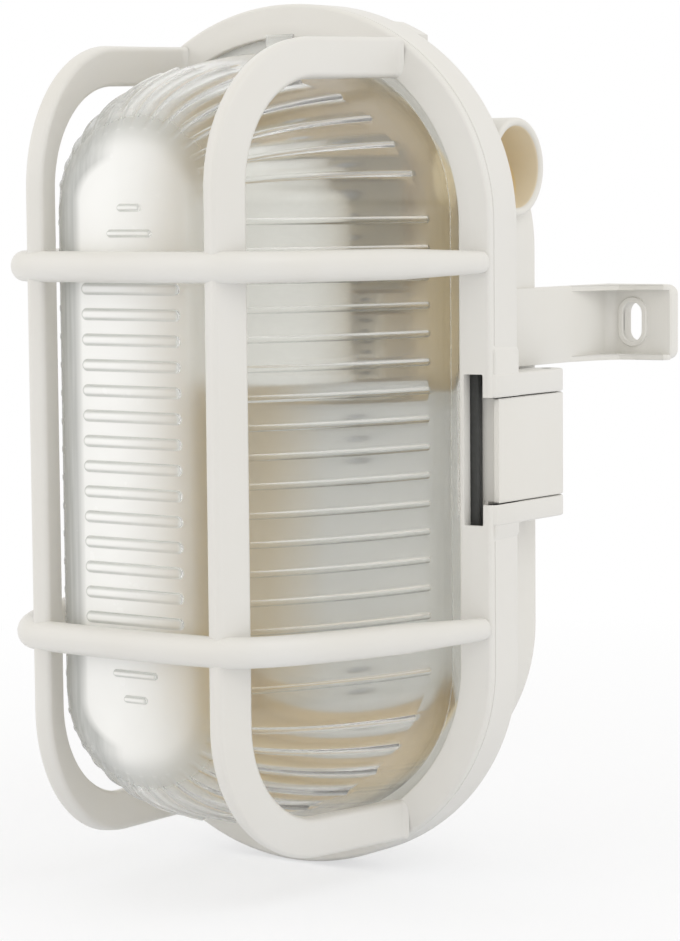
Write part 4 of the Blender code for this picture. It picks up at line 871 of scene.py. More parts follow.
def upright_builder(sizes, side):
    """An upright bar: a flat strip that bows over the diffuser, leans inwards and flares into the ring."""
    front = GUARD_FRONT_Y - UPRIGHT_REACH
    root = GUARD_FRONT_Y + 0.0006
    bend_top = UPRIGHT_HALF_HEIGHT - 0.0010
    bend_y = front + UPRIGHT_BEND
    steps = []
    for distance in (0.0, 0.0005, 0.0009, 0.0014, 0.0020, 0.0028, 0.0040, 0.0080, 0.0140, 0.0200, 0.0260):
        y = root - distance
        share = (root - y) / (root - bend_y)
        steps.append((y, UPRIGHT_HALF_HEIGHT + (bend_top - UPRIGHT_HALF_HEIGHT) * share, 0.0))
    for k in range(29):
        turn = pi / 2 * k / 28
        steps.append((bend_y - UPRIGHT_BEND * sin(turn), bend_top - UPRIGHT_BEND * (1 - cos(turn)), turn))
    steps += [(front, z, pi / 2) for z in (0.05, 0.04, 0.02)]
    steps += [(y, -z, pi - turn) for y, z, turn in steps[::-1]]
    builder = bmesh.new()
    rings = []
    for y, z, turn in steps:
        forward = max(0.0, GUARD_FRONT_Y - y) / UPRIGHT_REACH
        lean = radians(UPRIGHT_LEAN) * forward ** 1.5
        x = UPRIGHT_X + UPRIGHT_ROOT_SPREAD * (y - front) / UPRIGHT_REACH
        near = max(0.0, 1 - (GUARD_FRONT_Y + 0.0004 - y) / 0.0016) if abs(z) > 0.07 and y > bend_y else 0.0
        flare = UPRIGHT_FLARE * (1 - sqrt(max(0.0, 1 - min(near, 1.0) ** 2)))
        section = rounded_section(sizes.upright_thickness / 2 + flare, sizes.upright_depth / 2, 0.0013)
        outward = Vector((-sin(lean), -sin(turn) * cos(lean), cos(turn) * cos(lean)))
        across = Vector((cos(lean), -sin(turn) * sin(lean), cos(turn) * sin(lean)))
        centre = Vector((x, y, z))
        ring = [centre + across * a + outward * b for a, b in section]
        rings.append([(side * p.x, p.y, p.z) for p in ring])
    add_loft(builder, rings)
    return builder


def cross_path(count):
    """Points of a cross bar's centre line in plan: from its root round the corner to the middle, and back."""
    side = round(count * 0.7)
    half = [tuple(bezier(CROSS_SIDE, k / side)) for k in range(side)]
    half += [tuple(bezier(CROSS_FRONT, k / (count - side))) for k in range(count - side + 1)]
    start, ahead = Vector(half[0]), Vector(half[1]) - Vector(half[0])
    ahead.normalize()
    half[1:1] = [tuple(start + ahead * CROSS_ROOT_ROUND * share) for share in (0.1, 0.25, 0.45, 0.7)]
    return half + [(-x, y) for x, y in half[-2::-1]]


def cross_builder(sizes, height):
    """A cross bar: a round rod that wraps the diffuser from one flank of the ring to the other."""
    path = cross_path(44)
    builder = bmesh.new()
    rings = []
    last = len(path) - 1
    root = Vector((path[0][0], path[0][1]))
    for k, (x, y) in enumerate(path):
        before, after = path[max(k - 1, 0)], path[min(k + 1, last)]
        heading = atan2(after[1] - before[1], after[0] - before[0])
        from_end = (Vector((abs(x), y)) - root).length
        taper = 0.72 + 0.28 * min(1.0, from_end / 0.026)
        taper *= sqrt(max(0.04, 1 - max(0.0, 1 - from_end / CROSS_ROOT_ROUND) ** 2))
        ring = []
        for n in range(28):
            angle = 2 * pi * n / 28
            a = sizes.cross_depth / 2 * taper * cos(angle)
            b = sizes.cross_height / 2 * taper * sin(angle)
            ring.append((x - a * sin(heading), y + a * cos(heading), height + b))
        rings.append(ring)
    add_loft(builder, rings)
    return builder


def guard_builder(sizes):
    """Ring, hinge ears, closing lug, tabs and the cage of bars."""
    ring = bmesh.new()
    add_loft(ring, [oval(OPENING_OVAL, offset, y, 48) for offset, y in ring_section(sizes)], loop=True)
    skirt_inner = OPENING_OVAL[0] + SKIRT_OFFSET - sizes.skirt_wall
    front = GUARD_FRONT_Y
    window = rounded_outline(upright_slit(WINDOW_INNER_X, WINDOW_OUTER_X), 0.0004)
    window = prism(window, front - 0.0016, GUARD_Y + 0.0006, 'Y')
    gap = [(skirt_inner - 0.0009, KNUCKLE_LOW - 0.0003), (EAR_OUTER_X + 0.003, KNUCKLE_LOW - 0.0003),
           (EAR_OUTER_X + 0.003, KNUCKLE_HIGH + 0.0003), (skirt_inner - 0.0009, KNUCKLE_HIGH + 0.0003)]
    guard = carved(ring, window, prism(gap, front - 0.0016, SKIRT_BACK_Y + 0.0016, 'Y'))

    half_width = OPENING_OVAL[0] + SKIRT_OFFSET
    pad_inner = skirt_inner + 0.0005
    pad = cushion([
        (pad_inner, EAR_LOW - 0.0038),
        (half_width - 0.0003, EAR_LOW - 0.0038),
        (EAR_OUTER_X - 0.0003, EAR_LOW - 0.0022),
        (EAR_OUTER_X - 0.0003, EAR_HIGH + 0.0052),
        (half_width - 0.0003, EAR_HIGH + 0.0068),
        (pad_inner, EAR_HIGH + 0.0068),
    ], front + 0.0024, SKIRT_BACK_Y, 'Y', 0.0005)
    gap = prism(gap, front - 0.0016, SKIRT_BACK_Y + 0.0016, 'Y')
    merge(guard, carved(pad, gap))

    step = BASE_RIM_Y + 0.0031
    barrel = arc(HINGE_X, HINGE_Y, EAR_THICKNESS / 2, 0, 180, 20)
    ear = [
        (HINGE_X - EAR_THICKNESS / 2, step + EAR_THICKNESS / 2),
        (skirt_inner - 0.0006, step),
        (skirt_inner - 0.0006, front + 0.0018),
        (half_width - 0.0012, front + 0.0013),
        (EAR_OUTER_X - 0.0004, front + 0.0024),
        (EAR_OUTER_X - 0.0001, front + 0.0029),
        (EAR_OUTER_X - 0.0001, HINGE_Y - 0.0072),
        (EAR_OUTER_X, HINGE_Y - 0.0062),
    ] + barrel
    merge(guard, cushion(ear, KNUCKLE_HIGH + 0.0003, EAR_HIGH, radius=0.0005))
    merge(guard, cushion(ear, EAR_LOW, KNUCKLE_LOW - 0.0003, radius=0.0005))

    lip = upright_slit(WINDOW_LIP_INNER_X, WINDOW_LIP_OUTER_X)
    merge(guard, cushion(lip, front + 0.0008, RIM_BACK_Y, 'Y', 0.0001, 2))

    lug = [(-pad_inner, -CLOSING_RADIUS), (-pad_inner, CLOSING_RADIUS)]
    lug += arc(CLOSING_X, 0.0, CLOSING_RADIUS, 90, 270, 20)
    lug = cushion(lug, front + 0.0011, SKIRT_BACK_Y, 'Y', sizes.edge_radius)
    hole = prism(circle(CLOSING_X, 0.0, 0.0023, 40), front, SKIRT_BACK_Y + 0.001, 'Y')
    merge(guard, carved(lug, hole))

    for side in (1, -1):
        across = [TAB_X + TAB_WIDTH * (k / 8 - 0.5) for k in range(9)]
        outline = [(side * x, side * ring_height(SKIRT_OFFSET - 0.0002, x)) for x in across]
        outline += [(side * x, side * ring_height(SKIRT_OFFSET - 0.0020, x)) for x in across[::-1]]
        merge(guard, cushion(outline, SKIRT_BACK_Y - 0.0016, SKIRT_BACK_Y + 0.0050, 'Y', 0.0005))
        merge(guard, upright_builder(sizes, side))
        merge(guard, cross_builder(sizes, side * CROSS_BAR_Z))
    return guard


def upright_slit(inner, outer):
    """A narrow outline as high as the two hinge ears."""
    return [(inner, EAR_LOW), (outer, EAR_LOW), (outer, EAR_HIGH), (inner, EAR_HIGH)]


def ring_height(offset, x):
    """Height of the upper end of an oval beside the opening, at a distance x from the middle."""
    half_width, half_height, corner = OPENING_OVAL
    return half_height - corner + (corner + offset) * sqrt(1 - (x / (half_width + offset)) ** 2)


# Diffuser

def diffuser_shape(sizes, t, wall=0.0):
    """Half-width, half-height, straight flank and y of the diffuser's oval at depth t."""
    depth = sizes.diffuser_depth - wall
    levels = (0.0, -DIFFUSER_BULGE_DEPTH, -depth, -depth)
    width, y = bezier(tuple(zip(DIFFUSER_WIDTHS, levels)), t)
    height, y = bezier(tuple(zip(DIFFUSER_HEIGHTS, levels)), t)
    straight = RIM_STRAIGHT + (PANEL_STRAIGHT - RIM_STRAIGHT) * t
    return width - wall, height - wall, straight, GUARD_FRONT_Y + y


class Column:
    """A line of the diffuser's skin from the rim to the front panel, on a flank or round an end."""

    def __init__(self, side, height=None, angle=None, shift=0.0, rise=0.0):
        self.side = side
        self.height = height
        self.angle = angle
        self.shift = shift
        self.rise = rise

    def on_oval(self, width, height, straight):
        """The (x, z) of this column on an oval."""
        end = height - straight
        if self.angle is None:
            past = max(0.0, abs(self.height) - straight) / end
            return self.side * width * sqrt(max(0.0, 1 - past * past)), self.side * self.height
        angle = radians(self.angle)
        speed = sqrt((width * sin(angle)) ** 2 + (end * cos(angle)) ** 2)
        limit = radians(END_RIB_SPREAD) * 0.46
        angle += max(-limit, min(limit, self.shift / speed))
        return self.side * width * cos(angle), self.side * (straight + end * sin(angle))

    def point(self, sizes, t, wall=0.0):
        width, height, straight, y = diffuser_shape(sizes, t, wall)
        x, z = self.on_oval(width, height, straight)
        return Vector((x, y, z))

    def limits(self):
        """Depths at which the ribs here start and end."""
        if self.angle is None:
            return FLANK_RIB_START, FLANK_RIB_END
        steep = 90 - abs(90 - self.angle)
        for (low, first), (high, second) in zip(END_RIB_STARTS, END_RIB_STARTS[1:]):
            if steep <= high:
                return first + (second - first) * (steep - low) / (high - low), END_RIB_END
        return END_RIB_STARTS[-1][1], END_RIB_END


RIB_PROFILE = ((-1.18, 0.0), (-1.0, 0.10), (-0.85, 0.50), (-0.6, 0.80), (-0.3, 0.96), (0.0, 1.0),
               (0.3, 0.96), (0.6, 0.80), (0.85, 0.50), (1.0, 0.10), (1.18, 0.0))


def diffuser_columns(sizes):
    """Every column round the diffuser, anticlockwise from the foot of the +X flank."""
    half = sizes.rib_width / 2
    half_turn = []
    heights = [(-DIFFUSER_FLANK_LIMIT, 0.0)]
    for k in range(-FLANK_RIB_PAIRS, FLANK_RIB_PAIRS + 1):
        heights += [(FLANK_RIB_PITCH * k + offset * half, rise) for offset, rise in RIB_PROFILE]
        if k < FLANK_RIB_PAIRS:
            heights.append((FLANK_RIB_PITCH * (k + 0.5), 0.0))
    heights.append((DIFFUSER_FLANK_LIMIT, 0.0))
    half_turn += [Column(1, height=z, rise=rise) for z, rise in heights]
    for k in range(-END_RIB_PAIRS, END_RIB_PAIRS + 1):
        angle = 90 + k * END_RIB_SPREAD
        half_turn += [Column(1, angle=angle, shift=offset * half, rise=rise) for offset, rise in RIB_PROFILE]
        if k < END_RIB_PAIRS:
            half_turn.append(Column(1, angle=angle + END_RIB_SPREAD / 2))
    return half_turn + [Column(-1, c.height, c.angle, c.shift, c.rise) for c in half_turn]


def rib_depths(sizes, column):
    """Depths of a column's points: close together where a rib starts and ends, each with the rib's swell."""
    start, end = column.limits()
    swell = ((-0.00015, 0.0), (0.0, 0.12), (0.00012, 0.50), (0.0003, 0.75), (0.0006, 0.94), (0.0009, 1.0))
    step = 0.002
    first = (column.point(sizes, start + step) - column.point(sizes, start)).length / step
    last = (column.point(sizes, end) - column.point(sizes, end - step)).length / step
    depths = [(start * share, 0.0) for share in (0.0, 0.3, 0.6, 0.85)]
    depths += [(start + distance / first, rise) for distance, rise in swell]
    opening, closing = depths[-1][0], end - 0.0009 / last
    depths += [(opening + (closing - opening) * k / 24, 1 - RIB_TAPER * (k / 24) ** 1.4)
               for k in range(1, 24)]
    depths += [(end - distance / last, rise * (1 - RIB_TAPER)) for distance, rise in swell[::-1]]
    rest = depths[-1][0]
    depths += [(rest + (1 - rest) * share, 0.0) for share in (0.25, 0.5, 0.75, 1.0)]
    return depths


def skin_normal(sizes, column, t):
    """The outward normal of the diffuser's skin."""
    low, high = max(0.0, t - 0.004), min(0.998, t + 0.004)
    along = column.point(sizes, high) - column.point(sizes, low)
    if column.angle is None:
        beside = [Column(column.side, height=column.height + d) for d in (-0.0004, 0.0004)]
    else:
        beside = [Column(column.side, angle=column.angle, shift=column.shift + d) for d in (-0.0004, 0.0004)]
    middle = (low + high) / 2
    across = beside[1].point(sizes, middle) - beside[0].point(sizes, middle)
    normal = along.cross(across)
    if normal.length < 1e-12:
        return Vector((0.0, -1.0, 0.0))
    normal.normalize()
    centre = Vector((0.0, GUARD_FRONT_Y, column.side * min(abs(column.point(sizes, t).z), 0.05)))
    return normal if normal.dot(column.point(sizes, t) - centre) > 0 else -normal


def diffuser_builder(sizes):
    """The clear shell: a ribbed outside, a smooth inside, the clamped rim and the ribs of the front panel."""
    columns = diffuser_columns(sizes)
    builder = bmesh.new()
    rib = builder.verts.layers.float.new("rib")
    skin, rises = [], []
    for column in columns:
        line = []
        depths = rib_depths(sizes, column)
        rises.append([column.rise * swell for t, swell in depths])
        for t, swell in depths:
            point = column.point(sizes, t)
            rise = column.rise * swell * sizes.rib_height
            if rise > 0:
                point += skin_normal(sizes, column, t) * rise
            line.append(point)
        skin.append(line)
    rows = [list(row) for row in zip(*skin)]
    wall = sizes.diffuser_wall
    half_width, half_height, corner = OPENING_OVAL
    reach = RIM_REACH

    def rim(offset, y):
        straight = half_height - corner
        places = [c.on_oval(half_width + offset, half_height + offset, straight) for c in columns]
        limit = NOTCH_X + offset - reach
        return [(min(x, limit) if EAR_LOW - GAP < z < EAR_HIGH + GAP else x, y, z) for x, z in places]

    inner_depths = (0.0, 0.08, 0.18, 0.28, 0.38, 0.48, 0.58, 0.67, 0.76, 0.84, 0.91, 0.96, 1.0)
    inner = [[c.point(sizes, t, wall) for c in columns] for t in inner_depths]
    edge = rows[0]
    root = [(p[0], RIM_FRONT_Y, p[2]) for p in edge]
    back = [(p[0], RIM_BACK_Y, p[2]) for p in inner[0]]
    shell = rows[::-1] + [root, rim(reach - 0.0002, RIM_FRONT_Y), rim(reach, RIM_FRONT_Y + 0.0002)]
    shell += [rim(reach, RIM_BACK_Y - 0.0002), rim(reach - 0.0002, RIM_BACK_Y), back] + inner
    skins = add_loft(builder, shell, capped=False)
    for row, verts in enumerate(skins[len(rows) - 1::-1]):
        for vert, column_rises in zip(verts, rises):
            vert[rib] = column_rises[row]
    builder.faces.new(skins[-1])
    fill_panel(sizes, builder, skins[0])

    lugs = bmesh.new()
    for side in (1, -1):
        half, low, high = LATCHING_LUG_HALF, side * LATCHING_LUG_LOW, side * LATCHING_LUG_HIGH
        outline = [(-half, low), (half, low), (half, high), (-half, high)]
        merge(lugs, cushion(outline, GUARD_FRONT_Y - 0.0013, GUARD_FRONT_Y - 0.0003, 'Y', 0.0002, 2))
    merge(builder, lugs)
    return builder


def panel_ribs():
    """The ribs of the front panel: height, length and width."""
    middle = (PANEL_RIB_COUNT - 1) / 2
    ribs = [((k - middle) * PANEL_RIB_PITCH, PANEL_RIB_LENGTH, PANEL_RIB_WIDTH)
            for k in range(PANEL_RIB_COUNT)]
    for run, height in MARK_RIBS:
        ribs += [(height, run, MARK_RIB_WIDTH), (-height, run, MARK_RIB_WIDTH)]
    return ribs


def fill_panel(sizes, builder, boundary):
    """Fills the flat front panel and raises its ribs out of it."""
    level = GUARD_FRONT_Y - sizes.diffuser_depth
    support = []
    for vert in boundary:
        point = vert.co.copy()
        inward = Vector((-point.x, 0.0, -point.z * 0.25)).normalized()
        support.append(builder.verts.new((point.x + inward.x * 0.0004, level, point.z + inward.z * 0.0004)))
    for a, b, c, d in zip(boundary, boundary[1:] + boundary[:1], support[1:] + support[:1], support):
        builder.faces.new((a, b, c, d))
    flat_edges = ring_edges(builder, support)
    for z, run, width in panel_ribs():
        radius = width / 2
        rings = []
        rise = sizes.panel_rib_height
        profile = [(-0.0003, 0.0), (-0.00012, 0.0), (0.0, rise * 0.12)]
        profile += [(radius * 0.75 * (1 - cos(a)), rise * sin(a)) for a in quarter_turn(6)][1:]
        for inset, height in profile:
            round_end = radius - inset
            reach = run / 2 - radius
            outline = arc(reach, z, round_end, -90, 90, 10) + arc(-reach, z, round_end, 90, 270, 10)
            rings.append([(x, level - height, b) for x, b in outline])
        skins = add_loft(builder, rings, capped=False)
        builder.faces.new(skins[-1])
        flat_edges += ring_edges(builder, skins[0])
    bmesh.ops.triangle_fill(builder, use_beauty=True, use_dissolve=False, edges=flat_edges, normal=(0, -1, 0))


def ring_edges(builder, verts):
    edges = []
    for a, b in zip(verts, verts[1:] + verts[:1]):
        edge = builder.edges.get((a, b)) or builder.edges.new((a, b))
        edges.append(edge)
    return edges


# Inner parts

def holder_builder():
    """The lampholder's glazed body, mouth down, with a stepped shoulder and a hollow socket."""
    top, bottom = HOLDER_TOP, HOLDER_BOTTOM
    profile = [
        (0.0134, top), (0.0140, top - 0.0006), (0.0140, top - 0.0055), (0.0143, top - 0.0062),
        (0.0160, top - 0.0072), (0.0176, top - 0.0088), (0.0186, top - 0.0112), (0.0190, top - 0.0140),
        (0.0190, bottom + 0.0056), (0.0193, bottom + 0.0050), (0.0199, bottom + 0.0046),
        (0.0200, bottom + 0.0040),
        (0.0200, bottom + 0.0010), (0.0197, bottom + 0.0003), (0.0190, bottom), (0.0162, bottom),
        (0.0154, bottom + 0.0003), (0.0150, bottom + 0.0010), (0.0150, bottom + 0.0295),
        (0.0145, bottom + 0.0300),
    ]
    body = turned(profile, 'Z', (0.0, LAMP_Y), 96)
    pilots = [prism(circle(side * HOLDER_SCREW_X, LAMP_Y, 0.0019, 24), top - 0.0043, top + 0.0010)
              for side in (1, -1)]
    return carved(body, *pilots)


def reflector_builder():
    """A thin dished plate with a round lower end and two screw holes."""
    half, low_end, high_end = 0.0370, -0.0780, 0.0110
    back = BASE_FLOOR_Y - REFLECTOR_POST - GAP
    lip, thickness = 0.0045, 0.0008

    def outline(inset, y):
        width = half - inset
        lower = [(x, y, z) for x, z in arc(0.0, low_end + half, width, 180, 360, 48)]
        return lower + [(width, y, high_end - inset), (-width, y, high_end - inset)]

    builder = bmesh.new()
    rings = [outline(lip + 0.0004, back), outline(lip, back - 0.0002)]
    rings += [outline(0.0002, back - lip + 0.0001), outline(0.0, back - lip)]
    rings += [outline(0.0, back - lip - thickness)]
    rings += [outline(thickness / 2, back - lip - thickness), outline(lip, back - thickness - 0.0003)]
    rings += [outline(lip + 0.0008, back - thickness)]
    add_loft(builder, rings)
    holes = [prism(circle(0.0, z, 0.0019, 24), back - 0.003, back + 0.003, 'Y') for z in REFLECTOR_SCREWS_Z]
    return carved(builder, *holes)


def screw_builder(place, direction, size, cross=True):
    """A pan-head screw with a thread drawn as rings and a cross recess or a slot."""
    radius, head_radius, head_height, shank = size
    profile = [(radius * 0.55, -shank), (radius * 0.8, -shank + radius * 0.5)]
    pitch = radius * 0.5
    level = -shank + radius * 0.7
    while level < -pitch * 1.5:
        profile += [(radius * 0.84, level), (radius, level + pitch / 2)]
        level += pitch
    profile += [(radius * 0.84, -pitch), (radius * 0.84, 0.0)]
    profile += [(head_radius * 0.97, 0.0), (head_radius, 0.0001)]
    for k in range(9):
        angle = pi / 2 * k / 8
        profile.append((head_radius * (0.35 + 0.65 * cos(angle)), head_height * (0.45 + 0.55 * sin(angle))))
    builder = turned(profile, steps=40)
    depth = head_height * 0.55
    arm, blade = head_radius * 0.62, head_radius * 0.13
    if cross:
        blades = []
        for a, b in ((arm, blade), (blade, arm)):
            cut = [(-a, -b), (a, -b), (a, b), (-a, b)]
            blades.append(prism(cut, head_height - depth, head_height * 2))
        builder = carved(builder, *blades)
    else:
        arm = head_radius * 1.2
        slot = prism([(-arm, -0.0005), (arm, -0.0005), (arm, 0.0005), (-arm, 0.0005)],
                     head_height - 0.0011, head_height * 2)
        builder = carved(builder, slot)
    turn = Vector((0.0, 0.0, 1.0)).rotation_difference(Vector(direction)).to_matrix().to_4x4()
    builder.transform(Matrix.Translation(place) @ turn)
    return builder


# Stage

def area_lamp(name, place, aim, size, power, shade):
    lamp = bpy.data.lights.new(name, 'AREA')
    lamp.shape = 'DISK'
    lamp.size = size
    lamp.energy = power
    lamp.color = shade
    holder = bpy.data.objects.new(name, lamp)
    holder.location = place
    holder.rotation_euler = (Vector(aim) - Vector(place)).to_track_quat('-Z', 'Y').to_euler()
    bpy.context.scene.collection.objects.link(holder)


def make_world():
    """White wherever it is seen, mirrored or looked at through the diffuser, and softer as a light."""
    world = bpy.data.worlds.new("studio")
    world.use_nodes = True
    finish = Finish("studio", world.node_tree)
    seen = finish.light_path('Is Camera Ray')
    for name in ('Is Glossy Ray', 'Is Transmission Ray'):
        seen = seen.highest(finish.light_path(name))
    soft = finish.node('ShaderNodeBackground', {}, {'Color': (1.0, 0.968, 0.91, 1.0), 'Strength': 0.92})
    white = finish.node('ShaderNodeBackground', {}, {'Color': (1.0, 1.0, 1.0, 1.0), 'Strength': 1.0})
    finish.attach(finish.mix(seen, soft, white), 'ShaderNodeOutputWorld')
    bpy.context.scene.world = world


def floor_finish(shade):
    """Pale floor that keeps the object's shadow close by and runs out to plain white."""
    finish = Finish("floor_paper")
    place = finish.place()
    far = finish.node('ShaderNodeVectorMath', {"operation": 'LENGTH'}, {0: place}, 'Value')
    fade = ((far - 0.16) * 4.0).clamped() * 0.37 + 0.63
    grain = finish.noise(place, 400.0, 2.0)
    paper = finish.principled({
        'Base Color': finish.blend(grain, scaled(shade, 0.99), shade),
        'Roughness': 0.9,
        'Specular IOR Level': 0.1,
    })
    white = finish.node('ShaderNodeEmission', {}, {'Color': (1.0, 1.0, 1.0, 1.0), 'Strength': 1.0})
    return finish.surface(finish.mix(fade * finish.light_path('Is Camera Ray'), paper, white))


def make_camera():
    """The viewpoint: 35 degrees to the right of straight ahead and slightly from above."""
    side, drop, roll = radians(VIEW_SIDE), radians(VIEW_DROP), radians(VIEW_ROLL)
    forward = Vector((-sin(side) * cos(drop), cos(side) * cos(drop), -sin(drop)))
    level = Vector((cos(side), sin(side), 0.0))
    upright = level.cross(forward)
    right = level * cos(roll) + upright * sin(roll)
    up = -level * sin(roll) + upright * cos(roll)
    place = right * VIEW_RIGHT - up * VIEW_DOWN - forward * VIEW_DISTANCE
    place += Vector((0.0, GUARD_FRONT_Y, 0.0))
    view = bpy.data.cameras.new("viewpoint")
    view.sensor_fit = 'HORIZONTAL'
    view.sensor_width = SENSOR_WIDTH
    view.lens = FOCAL_PIXELS * SENSOR_WIDTH / IMAGE_WIDTH
    view.clip_start = 0.01
    camera = bpy.data.objects.new("viewpoint", view)
    matrix = Matrix((right, up, -forward)).transposed().to_4x4()
    matrix.translation = place
    camera.matrix_world = matrix
    bpy.context.scene.collection.objects.link(camera)
    bpy.context.scene.camera = camera


# Operators

class PieceOperator:
    """What the operators share: their options and access to the sizes and finishes."""

    bl_options = {'REGISTER', 'UNDO'}

    def execute(self, context):
        self.build(context.scene.wall_light_sizes, context.scene.wall_light_finishes)
        return {'FINISHED'}


class WALLLIGHT_OT_base(PieceOperator, bpy.types.Operator):
    """Builds the base housing with its feet, cable entries and knuckle"""

    bl_idname = "wall_light.base"
    bl_label = "Base housing"

    def build(self, sizes, finishes):
        # The inside colour is painted warm shade for the base's hollows
        inside = finishes.base_inside_shade[:]
        plastic = moulded_plastic("base_plastic", finishes.base_plastic[:], 0.42, inside=inside)
        add_piece("base_shell", base_builder(sizes), plastic, "base", ("base_housing",), sharp=32.0)


class WALLLIGHT_OT_gasket(PieceOperator, bpy.types.Operator):
    """Builds the soft gasket between the base and the diffuser"""

    bl_idname = "wall_light.gasket"
    bl_label = "Gasket"

    def build(self, sizes, finishes):
        builder = bmesh.new()
        middle = (GASKET_BACK_Y + GASKET_FRONT_Y) / 2
        half = (GASKET_BACK_Y - GASKET_FRONT_Y) / 2
        section = rounded_section(GASKET_HALF_WIDTH, half, GASKET_EDGE, 3)
        rings = [oval(OPENING_OVAL, GASKET_OFFSET + a, middle + b) for a, b in section]
        add_loft(builder, rings, loop=True)
        add_piece("gasket_ring", builder, rubber_compound("rubber", finishes.rubber[:]), "base", ("gasket",))


class WALLLIGHT_OT_guard(PieceOperator, bpy.types.Operator):
    """Builds the guard: ring, hinge ears, closing lug and the cage of bars"""

    bl_idname = "wall_light.guard"
    bl_label = "Guard"

    def build(self, sizes, finishes):
        plastic = moulded_plastic("guard_plastic", finishes.guard_plastic[:], 0.38)
        add_piece("guard_cage_bars", guard_builder(sizes), plastic, "guard", ("guard_cage",), sharp=32.0)


class WALLLIGHT_OT_diffuser(PieceOperator, bpy.types.Operator):
    """Builds the clear ribbed diffuser"""

    bl_idname = "wall_light.diffuser"
    bl_label = "Diffuser"

    def build(self, sizes, finishes):
        panel_y = GUARD_FRONT_Y - sizes.diffuser_depth
        shades = finishes.clear[:], finishes.painted_white[:], finishes.painted_shade[:]
        clear = clear_plastic("clear_plastic", *shades, panel_y)
        add_piece("diffuser_shell", diffuser_builder(sizes), clear, "guard", ("diffuser",), sharp=60.0)


class WALLLIGHT_OT_fixings(PieceOperator, bpy.types.Operator):
    """Builds the screws and dresses the hinge pin and the brass insert"""

    bl_idname = "wall_light.fixings"
    bl_label = "Screws and hinge pin"

    def build(self, sizes, finishes):
        steel = worked_metal("screw_steel", finishes.zinc[:], 0.30, (1.0, 1.0, 4.0))
        closing = (0.0020, 0.0036, 0.0024, 0.0165)
        place = (CLOSING_X, GUARD_FRONT_Y + 0.0008, 0.0)
        builder = screw_builder(place, (0, -1, 0), closing, cross=False)
        add_piece("closing_screw_slotted", builder, steel, "guard", ("closing_screw",))
        inner = (0.0016, 0.0032, 0.0020)
        bracket_front = BASE_FLOOR_Y - 0.0050 - 0.0003 - 0.0015
        screws = []
        for name, z in zip(("upper", "lower"), BRACKET_SCREWS_Z):
            screws.append((f"bracket_screw_{name}", (0.0, bracket_front - 0.0003, z), (0, -1, 0), 0.0058))
        for name, z in zip(("upper", "lower"), REFLECTOR_SCREWS_Z):
            place = (0.0, BASE_FLOOR_Y - REFLECTOR_POST - GAP - 0.0008 - GAP, z)
            screws.append((f"reflector_screw_{name}", place, (0, -1, 0), 0.0051))
        for name, side in (("right", 1), ("left", -1)):
            place = (side * HOLDER_SCREW_X, LAMP_Y, HOLDER_TOP + 0.0021)
            screws.append((f"holder_screw_{name}", place, (0, 0, 1), 0.0058))
        for name, place, direction, shank in screws:
            builder = screw_builder(place, direction, inner + (shank,))
            add_piece(f"{name}_cross", builder, steel, "base", (name,))
        dress("hinge_pin", steel)
        brass = worked_metal("insert_brass", finishes.brass[:], 0.30, (1.0, 6.0, 1.0))
        dress("closing_insert", brass)


class WALLLIGHT_OT_lampholder(PieceOperator, bpy.types.Operator):
    """Builds the lampholder and dresses its thread, contact and bracket"""

    bl_idname = "wall_light.lampholder"
    bl_label = "Lampholder"

    def build(self, sizes, finishes):
        porcelain = glazed_porcelain("porcelain", finishes.porcelain[:])
        add_piece("lampholder_glazed", holder_builder(), porcelain, "base", ("lampholder_body",))
        brass = worked_metal("brass", finishes.brass[:], 0.28, (1.0, 1.0, 8.0))
        dress("threaded_shell", brass)
        dress("centre_contact", brass)
        # The bracket's colour is yellowish plating, darkened as painted shade
        plated = worked_metal("zinc_plate", finishes.passivated_and_shaded[:], 0.50, (6.0, 1.0, 1.0), metallic=0.6)
        dress("holder_bracket", plated)


class WALLLIGHT_OT_reflector(PieceOperator, bpy.types.Operator):
    """Builds the reflector plate in the lower half"""

    bl_idname = "wall_light.reflector"
    bl_label = "Reflector plate"

    def build(self, sizes, finishes):
        # The plate carries a painted reflection of the warm plastic on its -X side
        sheet = worked_metal("aluminium_sheet", finishes.aluminium[:], 0.50, (1.0, 1.0, 12.0),
                             metallic=0.5, painted_reflection=finishes.aluminium_painted_reflection[:])
        add_piece("reflector_dished", reflector_builder(), sheet, "base", ("reflector_plate",))


class WALLLIGHT_OT_terminals(PieceOperator, bpy.types.Operator):
    """Dresses the terminal block, its clamps and their screws"""

    bl_idname = "wall_light.terminals"
    bl_label = "Terminals"

    def build(self, sizes, finishes):
        dress("terminal_block", moulded_plastic("nylon", finishes.nylon[:], 0.48))
        brass = worked_metal("clamp_brass", finishes.brass[:], 0.34, (8.0, 1.0, 1.0))
        steel = worked_metal("terminal_steel", finishes.zinc[:], 0.34, (1.0, 6.0, 1.0))
        for number in (1, 2, 3):
            dress(f"terminal_clamp_{number}", brass)
            dress(f"terminal_screw_{number}_upper", steel)
            dress(f"terminal_screw_{number}_lower", steel)


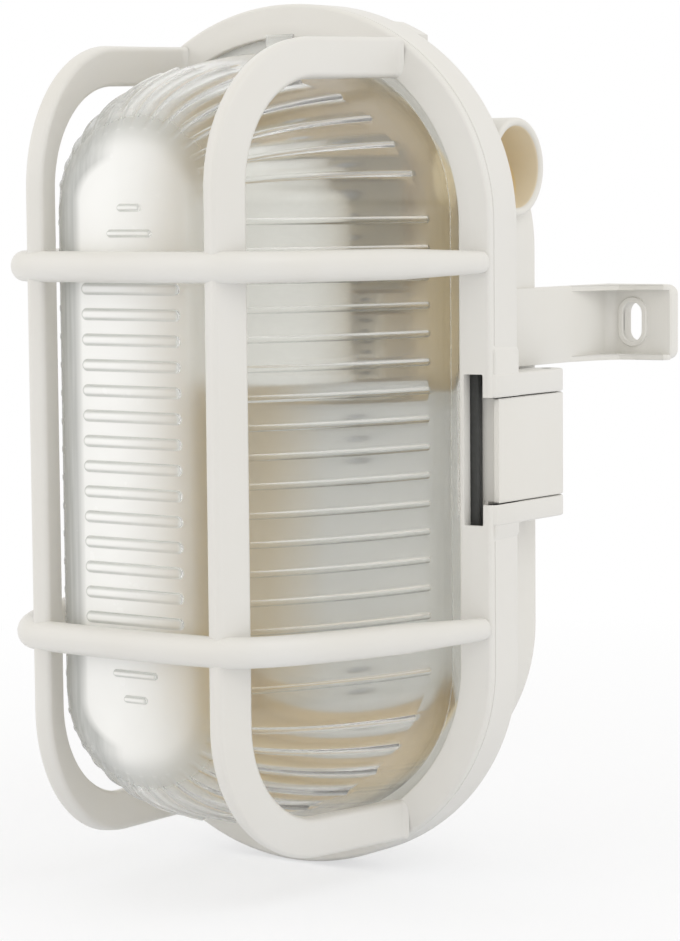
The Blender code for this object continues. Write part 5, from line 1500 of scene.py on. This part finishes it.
class WALLLIGHT_OT_stage(PieceOperator, bpy.types.Operator):
    """Sets up the floor, the lamps, the world and the camera"""

    bl_idname = "wall_light.stage"
    bl_label = "Stage"

    def build(self, sizes, finishes):
        make_camera()
        make_world()
        floor = bpy.data.meshes.new("floor")
        level, reach = cad_box[0].z - 0.0002, 6.0
        corners = [(x * reach, y * reach, level) for x, y in ((-1, -1), (1, -1), (1, 1), (-1, 1))]
        floor.from_pydata(corners, [], [(0, 1, 2, 3)])
        floor.materials.append(floor_finish(finishes.floor[:]))
        thing = bpy.data.objects.new("floor", floor)
        bpy.context.scene.collection.objects.link(thing)
        area_lamp("key", (0.95, -0.25, 1.05), (0.0, -0.07, 0.0), 0.9, 2.5, (0.96, 0.98, 1.0))
        area_lamp("fill", (-0.9, -1.0, 0.5), (0.0, -0.07, 0.0), 1.2, 2.1, (1.0, 0.99, 0.98))
        bpy.context.scene.view_settings.view_transform = 'Standard'


class WALLLIGHT_PT_panel(bpy.types.Panel):
    """Sidebar panel with the sizes, the finishes and one button for each piece"""

    bl_idname = "WALLLIGHT_PT_panel"
    bl_label = "Oval wall light"
    bl_space_type = 'VIEW_3D'
    bl_region_type = 'UI'
    bl_category = "Wall light"

    def draw(self, context):
        for operator in OPERATORS:
            self.layout.operator(operator.bl_idname)
        for group in (context.scene.wall_light_sizes, context.scene.wall_light_finishes):
            for name in group.__annotations__:
                self.layout.prop(group, name)


OPERATORS = (
    WALLLIGHT_OT_stage,
    WALLLIGHT_OT_base,
    WALLLIGHT_OT_gasket,
    WALLLIGHT_OT_guard,
    WALLLIGHT_OT_diffuser,
    WALLLIGHT_OT_fixings,
    WALLLIGHT_OT_lampholder,
    WALLLIGHT_OT_reflector,
    WALLLIGHT_OT_terminals,
)
CLASSES = (WallLightSizes, WallLightFinishes) + OPERATORS + (WALLLIGHT_PT_panel,)


def register():
    for item in CLASSES:
        bpy.utils.register_class(item)
    bpy.types.Scene.wall_light_sizes = PointerProperty(type=WallLightSizes)
    bpy.types.Scene.wall_light_finishes = PointerProperty(type=WallLightFinishes)


def unregister():
    del bpy.types.Scene.wall_light_finishes
    del bpy.types.Scene.wall_light_sizes
    for item in reversed(CLASSES):
        bpy.utils.unregister_class(item)


def main():
    register()
    for operator in OPERATORS:
        group, name = operator.bl_idname.split(".")
        getattr(getattr(bpy.ops, group), name)()


if __name__ == "__main__":
    main()
